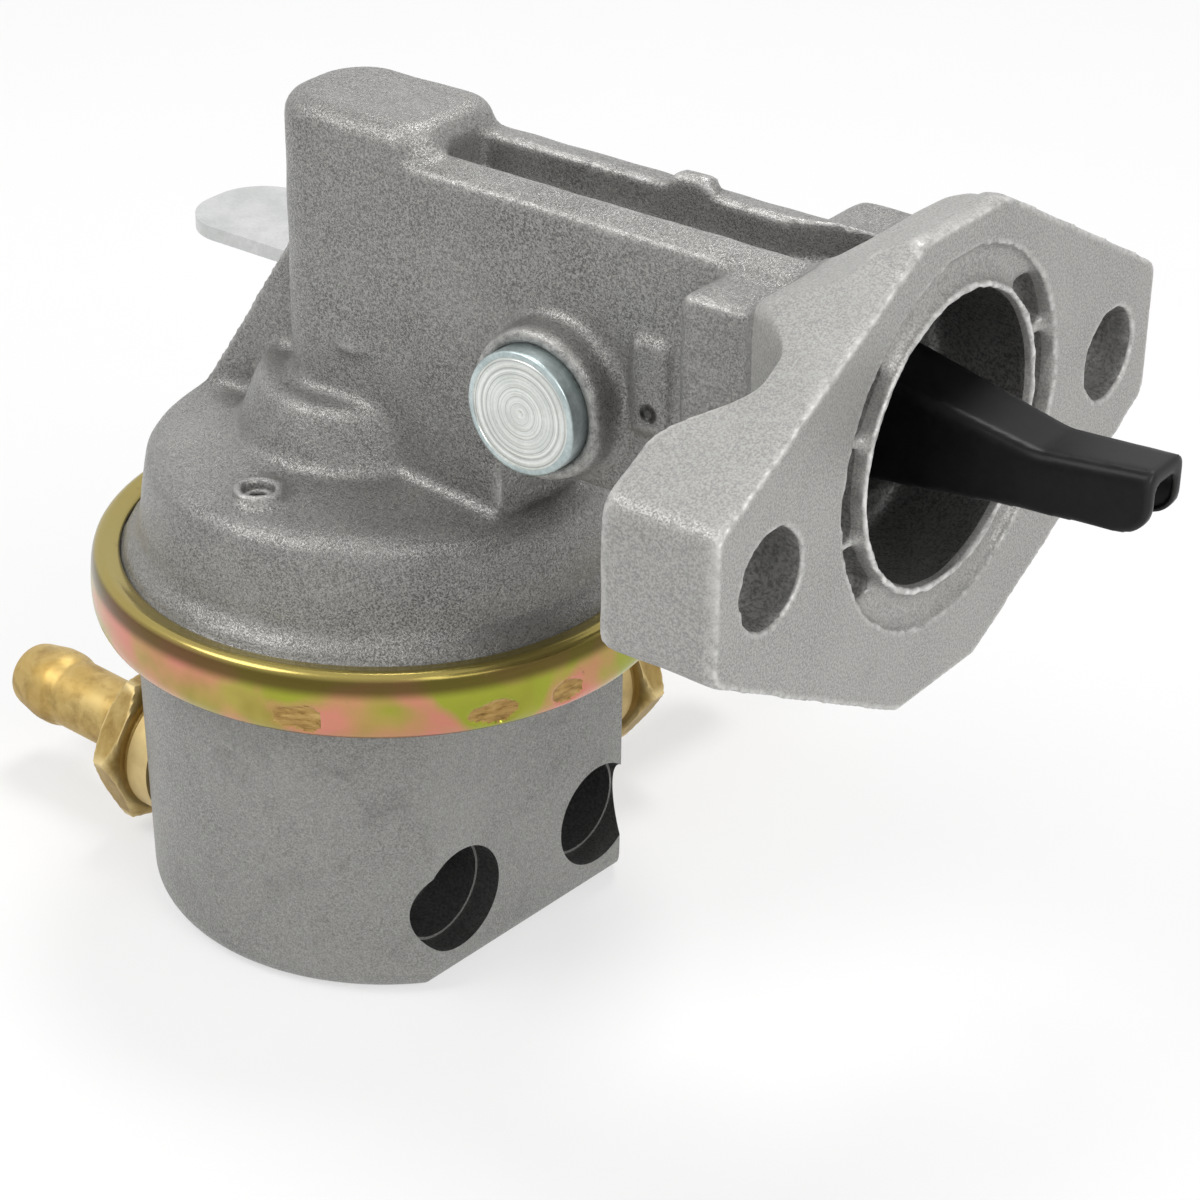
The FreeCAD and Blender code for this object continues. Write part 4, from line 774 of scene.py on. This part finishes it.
# The crimped ring: rolled top bead, bulging wall, foot turned under, and the punch's marks.
DENTS = (294.0, 330.5, 346.0, 20.0, 61.0, 97.0, 134.0, 171.0, 214.0)  # degrees round the ring
DENT_HALF_WIDTH = 5.2  # degrees
DENT_HALF_HEIGHT = 1.9
DENT_HEIGHT = -44.6
DENT_DEPTH = 0.38
DENT_SQUARENESS = 2.6
WALL_INNER = 39.6
ring_outer = smoothed([
    (36.35, -39.1), (36.12, -38.85), (36.2, -38.5), (36.7, -38.28), (37.5, -38.12), (38.25, -37.95),
    (38.95, -38.02), (39.6, -38.5), (39.93, -39.3), (40.12, -40.4), (40.26, -42.0), (40.3, -43.6),
    (40.2, -45.2), (39.85, -46.4), (39.2, -47.3), (38.3, -47.75), (37.3, -47.8),
])
ring_rows = ring_outer + [(36.8, -47.6), (36.8, -46.7), (39.0, -46.6), (39.0, -39.1)]


def dent_share(angle, height):
    """How far inside a punch mark a place on the ring lies, from 0 to 1."""
    degrees = math.degrees(angle)
    best = 0.0
    for index, middle in enumerate(DENTS):
        along = (degrees - middle + 180) % 360 - 180
        above = height - DENT_HEIGHT + 0.12 * math.sin(index)
        wide = DENT_HALF_WIDTH + 0.6 * math.sin(index * 2.3)
        tall = DENT_HALF_HEIGHT + 0.2 * math.cos(index * 1.7)
        across = abs(along / wide) ** DENT_SQUARENESS + abs(above / tall) ** DENT_SQUARENESS
        reach = across ** (1 / DENT_SQUARENESS)
        edge = 1.0 + 0.10 * math.sin(along * 0.9 + index)
        best = max(best, min(1.0, max(0.0, (edge - reach) / 0.22)))
    return best


def ring_radius(index, r, h, angle):
    """The ring's wall with its marks and a slight ripple, and its lip with a slight wave."""
    if r < WALL_INNER or index >= len(ring_outer):
        wave = 0.05 * math.sin(angle * 5 + 1.0) if 36.0 < r < 38.5 and h > -39.0 else 0.0
        return r, h + wave
    ripple = 0.03 * noise.noise(Vector((math.cos(angle), math.sin(angle), h * 0.03)) * 3.0)
    return r - DENT_DEPTH * smoothstep(0.0, 1.0, dent_share(angle, h)) + ripple - 0.03, h


def ring_material(i, angle):
    """1 in the middle of a punch mark, else 0."""
    h = (ring_rows[i][1] + ring_rows[(i + 1) % len(ring_rows)][1]) / 2
    on_wall = i < len(ring_outer) - 1 and ring_rows[i][0] > WALL_INNER - 0.3
    return 1 if on_wall and dent_share(angle, h) > 0.55 else 0


mesh_piece(
    "rolled_ring",
    lambda shape: loop_surface(shape, upright(AXIS_X, 0, 0), ring_rows, 720, ring_radius, ring_material),
    [gold, mark], ["crimp_ring"], 40.0,
)


# The hose fittings.
HEX_HALF_FLATS = 10.65
HEX_THICKNESS = 4.45
HEX_BORE = 5.0
HEX_TURN = math.radians(5.35)
HEX_SIDE = 99.0  # stands for the hexagon's own radius at an angle
TAIL_LENGTH = 26.1


def hexagon_rows(start):
    """Closed rows of a hexagon with turned chamfers at both faces, from its bore outwards."""
    top = start + HEX_THICKNESS
    return [
        (HEX_BORE, start), (HEX_HALF_FLATS - 0.75, start), (HEX_HALF_FLATS - 0.55, start + 0.02),
        *((HEX_SIDE, start + rise) for rise in (0.25, 0.55, 0.9, 1.3)),
        *((HEX_SIDE, top - fall) for fall in (1.3, 0.9, 0.55, 0.25)),
        (HEX_HALF_FLATS - 0.55, top - 0.02), (HEX_HALF_FLATS - 0.75, top), (HEX_BORE, top),
    ]


def fitting(name, seat, axis, first, hexagon_start, replaced):
    """A turned brass fitting: thread, wide neck, chamfered hexagon and ridged hose tail.
    Heights are in mm from its seat, along its axis."""
    outer = hexagon_start + HEX_THICKNESS
    tip = outer + TAIL_LENGTH
    at = basis(seat, axis, first)
    tail = [
        (3.2, -7.0), (5.6, -7.0), (6.0, -6.6), (6.0, 0.0), (9.5, 0.0), (9.5, hexagon_start - 0.9),
        (9.3, hexagon_start - 0.6), (9.3, hexagon_start - 0.2), (9.0, hexagon_start + 0.3),
        (7.4, outer - 0.1), (7.0, outer), (6.1, outer + 0.15), (5.5, outer + 0.5),
    ]
    tail += smoothed([
        (5.24, outer + 1.2), (5.18, outer + 4.0), (5.2, tip - 11.5), (5.2, tip - 9.9), (5.34, tip - 9.2),
        (5.64, tip - 8.1), (5.75, tip - 7.2), (5.75, tip - 5.7), (5.6, tip - 4.6), (5.25, tip - 2.9),
        (4.95, tip - 1.4), (4.55, tip - 0.5), (3.95, tip - 0.05), (3.6, tip),
    ])
    tail += [(3.3, tip - 0.15), (3.2, tip - 0.5)]
    middle = hexagon_start + HEX_THICKNESS / 2

    def hexagon_radius(index, r, h, angle):
        if r < HEX_SIDE:
            return r, h
        sector = angle % (math.pi / 3) - math.pi / 6
        flat = HEX_HALF_FLATS / math.cos(sector)
        from_face = HEX_THICKNESS / 2 - abs(h - middle)
        return min(flat, HEX_HALF_FLATS - 0.3 + from_face * 1.6), h

    origin, u, v, w = at
    cos, sin = math.cos(HEX_TURN), math.sin(HEX_TURN)
    at_hexagon = (origin, u * cos + v * sin, v * cos - u * sin, w)

    def build(shape):
        loop_surface(shape, at, tail, 96)
        for face in shape.faces:
            height = (face.calc_center_median() - origin).dot(w) / MM
            face.material_index = 1 if height < outer + 0.3 else 0
        loop_surface(
            shape, at_hexagon, hexagon_rows(hexagon_start), 144, hexagon_radius, lambda i, a: 1
        )

    mesh_piece(name, build, [brass_barb, brass_nut], [replaced], 28.0)


# How far the outer face of each hexagon stands from the lower housing's axis.
INLET_REACH = 35.4
OUTLET_REACH = 42.0
out_x = Vector((math.cos(LOWER_TURN), math.sin(LOWER_TURN), 0))
out_y = Vector((-math.sin(LOWER_TURN), math.cos(LOWER_TURN), 0))
fitting(
    "inlet_tail", turned(AXIS_X - SEAT_FROM_AXIS, INLET_Y, PORT_Z), -out_x, -out_y,
    INLET_REACH - SEAT_FROM_AXIS - HEX_THICKNESS, "inlet_fitting",
)
fitting(
    "outlet_tail", turned(OUTLET_X, SEAT_FROM_AXIS, OUTLET_Z), out_y, out_x,
    OUTLET_REACH - SEAT_FROM_AXIS - HEX_THICKNESS, "outlet_fitting",
)


# The springs: round wire, with their end turns laid flat.
WIRE_SIDES = 12
STEPS_PER_TURN = 40


def coil(name, node, at, length, sizes):
    """A coil of wire along a frame's axis. sizes are its radius, its wire's radius and its turns."""
    origin, u, v, w = at
    radius, thickness, turns = sizes
    flat_share = 0.5 / max(turns, 2.0)
    nudge = 0.002

    def centre(t):
        rise = min(1.0, max(0.0, (t - flat_share) / (1.0 - 2.0 * flat_share)))
        angle = 2 * math.pi * turns * t
        out = u * math.cos(angle) + v * math.sin(angle)
        return out, origin + (out * radius + w * (thickness + rise * (length - 2 * thickness))) * MM

    def build(shape):
        steps = int(turns * STEPS_PER_TURN)
        rings = []
        for i in range(steps + 1):
            t = i / steps
            out, here = centre(t)
            ahead, behind = centre(min(1.0, t + nudge))[1], centre(max(0.0, t - nudge))[1]
            side = (ahead - behind).normalized().cross(out).normalized()
            ring = []
            for k in range(WIRE_SIDES):
                turn = 2 * math.pi * k / WIRE_SIDES
                skin = (out * math.cos(turn) + side * math.sin(turn)) * thickness * MM
                ring.append(shape.verts.new(here + skin))
            rings.append(ring)
        for first, second in zip(rings, rings[1:]):
            for k in range(WIRE_SIDES):
                m = (k + 1) % WIRE_SIDES
                shape.faces.new([first[k], first[m], second[m], second[k]])
        shape.faces.new(rings[0][::-1])
        shape.faces.new(rings[-1])

    return mesh_piece(name, build, [wire], [node], 50.0)


def standing_coil(name, node, x, y, foot, top, sizes):
    """An upright spring between two heights."""
    piece = coil(name, node, upright(x, y, foot), top - foot, sizes)
    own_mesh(piece)


# Places and heights repeated from part.py.
VALVE_COIL = (3.4, 0.35, 3.0)
ROD_FOOT, ROD_TOP = -40.9, -24.5
ARM_FOOT, ARM_TOP = 5.8, 21.9
INLET_FOOT, INLET_TOP = -54.3, -50.25
OUTLET_FOOT, OUTLET_TOP = -56.95, -52.9
standing_coil(
    "diaphragm_coil", "diaphragm_spring", AXIS_X, 0.0, ROD_FOOT, ROD_TOP, (10.5, 0.9, 3.0),
)
standing_coil(
    "arm_coil", "rocker_spring", -79.4, 0.0, ARM_FOOT, ARM_TOP, (3.4, 0.6, 5.0),
)
standing_coil(
    "inlet_coil", "inlet_valve_spring", -96.94, -13.17, INLET_FOOT, INLET_TOP, VALVE_COIL,
)
standing_coil(
    "outlet_coil", "outlet_valve_spring", -82.1, 12.65, OUTLET_FOOT, OUTLET_TOP, VALVE_COIL,
)
coil("primer_coil", "primer_spring", crosswise(-72.0, 15.8, -9.2), 2.5, (3.9, 0.6, 1.0))


# Studio: a pale floor, a white surround and three soft lamps.
FLOOR_REACH = 3.0
FLOOR_GLOW = 0.6
SURROUND_LIGHT = 0.28
LAMP_TARGET = Vector((-0.05, 0.0, -0.03))


def stage_material(name, colour):
    """A matt floor that glows towards the camera, so that it fades into the surround."""
    s = Surface(name)
    dim = tuple(part * 0.985 for part in colour)
    shade = s.ramp(s.noise(40.0, 3.0, 0.5), (0.3, dim), (0.7, colour))
    matt = s.shader(shade, 0.8, Specular_IOR_Level=0.2)
    white = s.add("ShaderNodeEmission")
    white.inputs["Strength"].default_value = 1.0
    blend = s.add("ShaderNodeMixShader")
    s.put(blend.inputs[0], s.math("MULTIPLY", s.seen_directly(), FLOOR_GLOW))
    s.put(blend.inputs[1], matt)
    s.put(blend.inputs[2], white.outputs["Emission"])
    return s.finish(blend.outputs[0])


floor_mesh = bpy.data.meshes.new("floor")
floor_mesh.from_pydata(
    [(x * FLOOR_REACH, y * FLOOR_REACH, BASE_Z * MM) for x, y in ((-1, -1), (1, -1), (1, 1), (-1, 1))],
    [], [(0, 1, 2, 3)],
)
floor_mesh.materials.append(stage_material("floor", (0.95, 0.95, 0.95)))
add_object("floor", floor_mesh)


def lamp(name, spot, size, power):
    """A soft round lamp of a size in metres and a power in watts, aimed at the pump's middle."""
    data = bpy.data.lights.new(name, "AREA")
    data.shape = "DISK"
    data.size = size
    data.energy = power
    lit = add_object(name, data)
    lit.location = spot
    lit.rotation_mode = "QUATERNION"
    lit.rotation_quaternion = (LAMP_TARGET - Vector(spot)).to_track_quat("-Z", "Y")


lamp("key", (-0.42, -0.52, 0.70), 0.55, 4.0)
lamp("right", (0.74, -0.24, 0.50), 0.60, 4.6)
lamp("top", (-0.20, 0.40, 0.90), 0.40, 4.4)

world = bpy.data.worlds.new("studio")
bpy.context.scene.world = world
world.use_nodes = True
sky = Nodes(world.node_tree)
surround = sky.add("ShaderNodeBackground")
surround.inputs["Color"].default_value = (1.0, 1.0, 1.0, 1.0)
sky.put(surround.inputs["Strength"], sky.scaled(sky.seen_directly(), SURROUND_LIGHT, 1.0))
sky.put(sky.add("ShaderNodeOutputWorld").inputs["Surface"], surround.outputs["Background"])
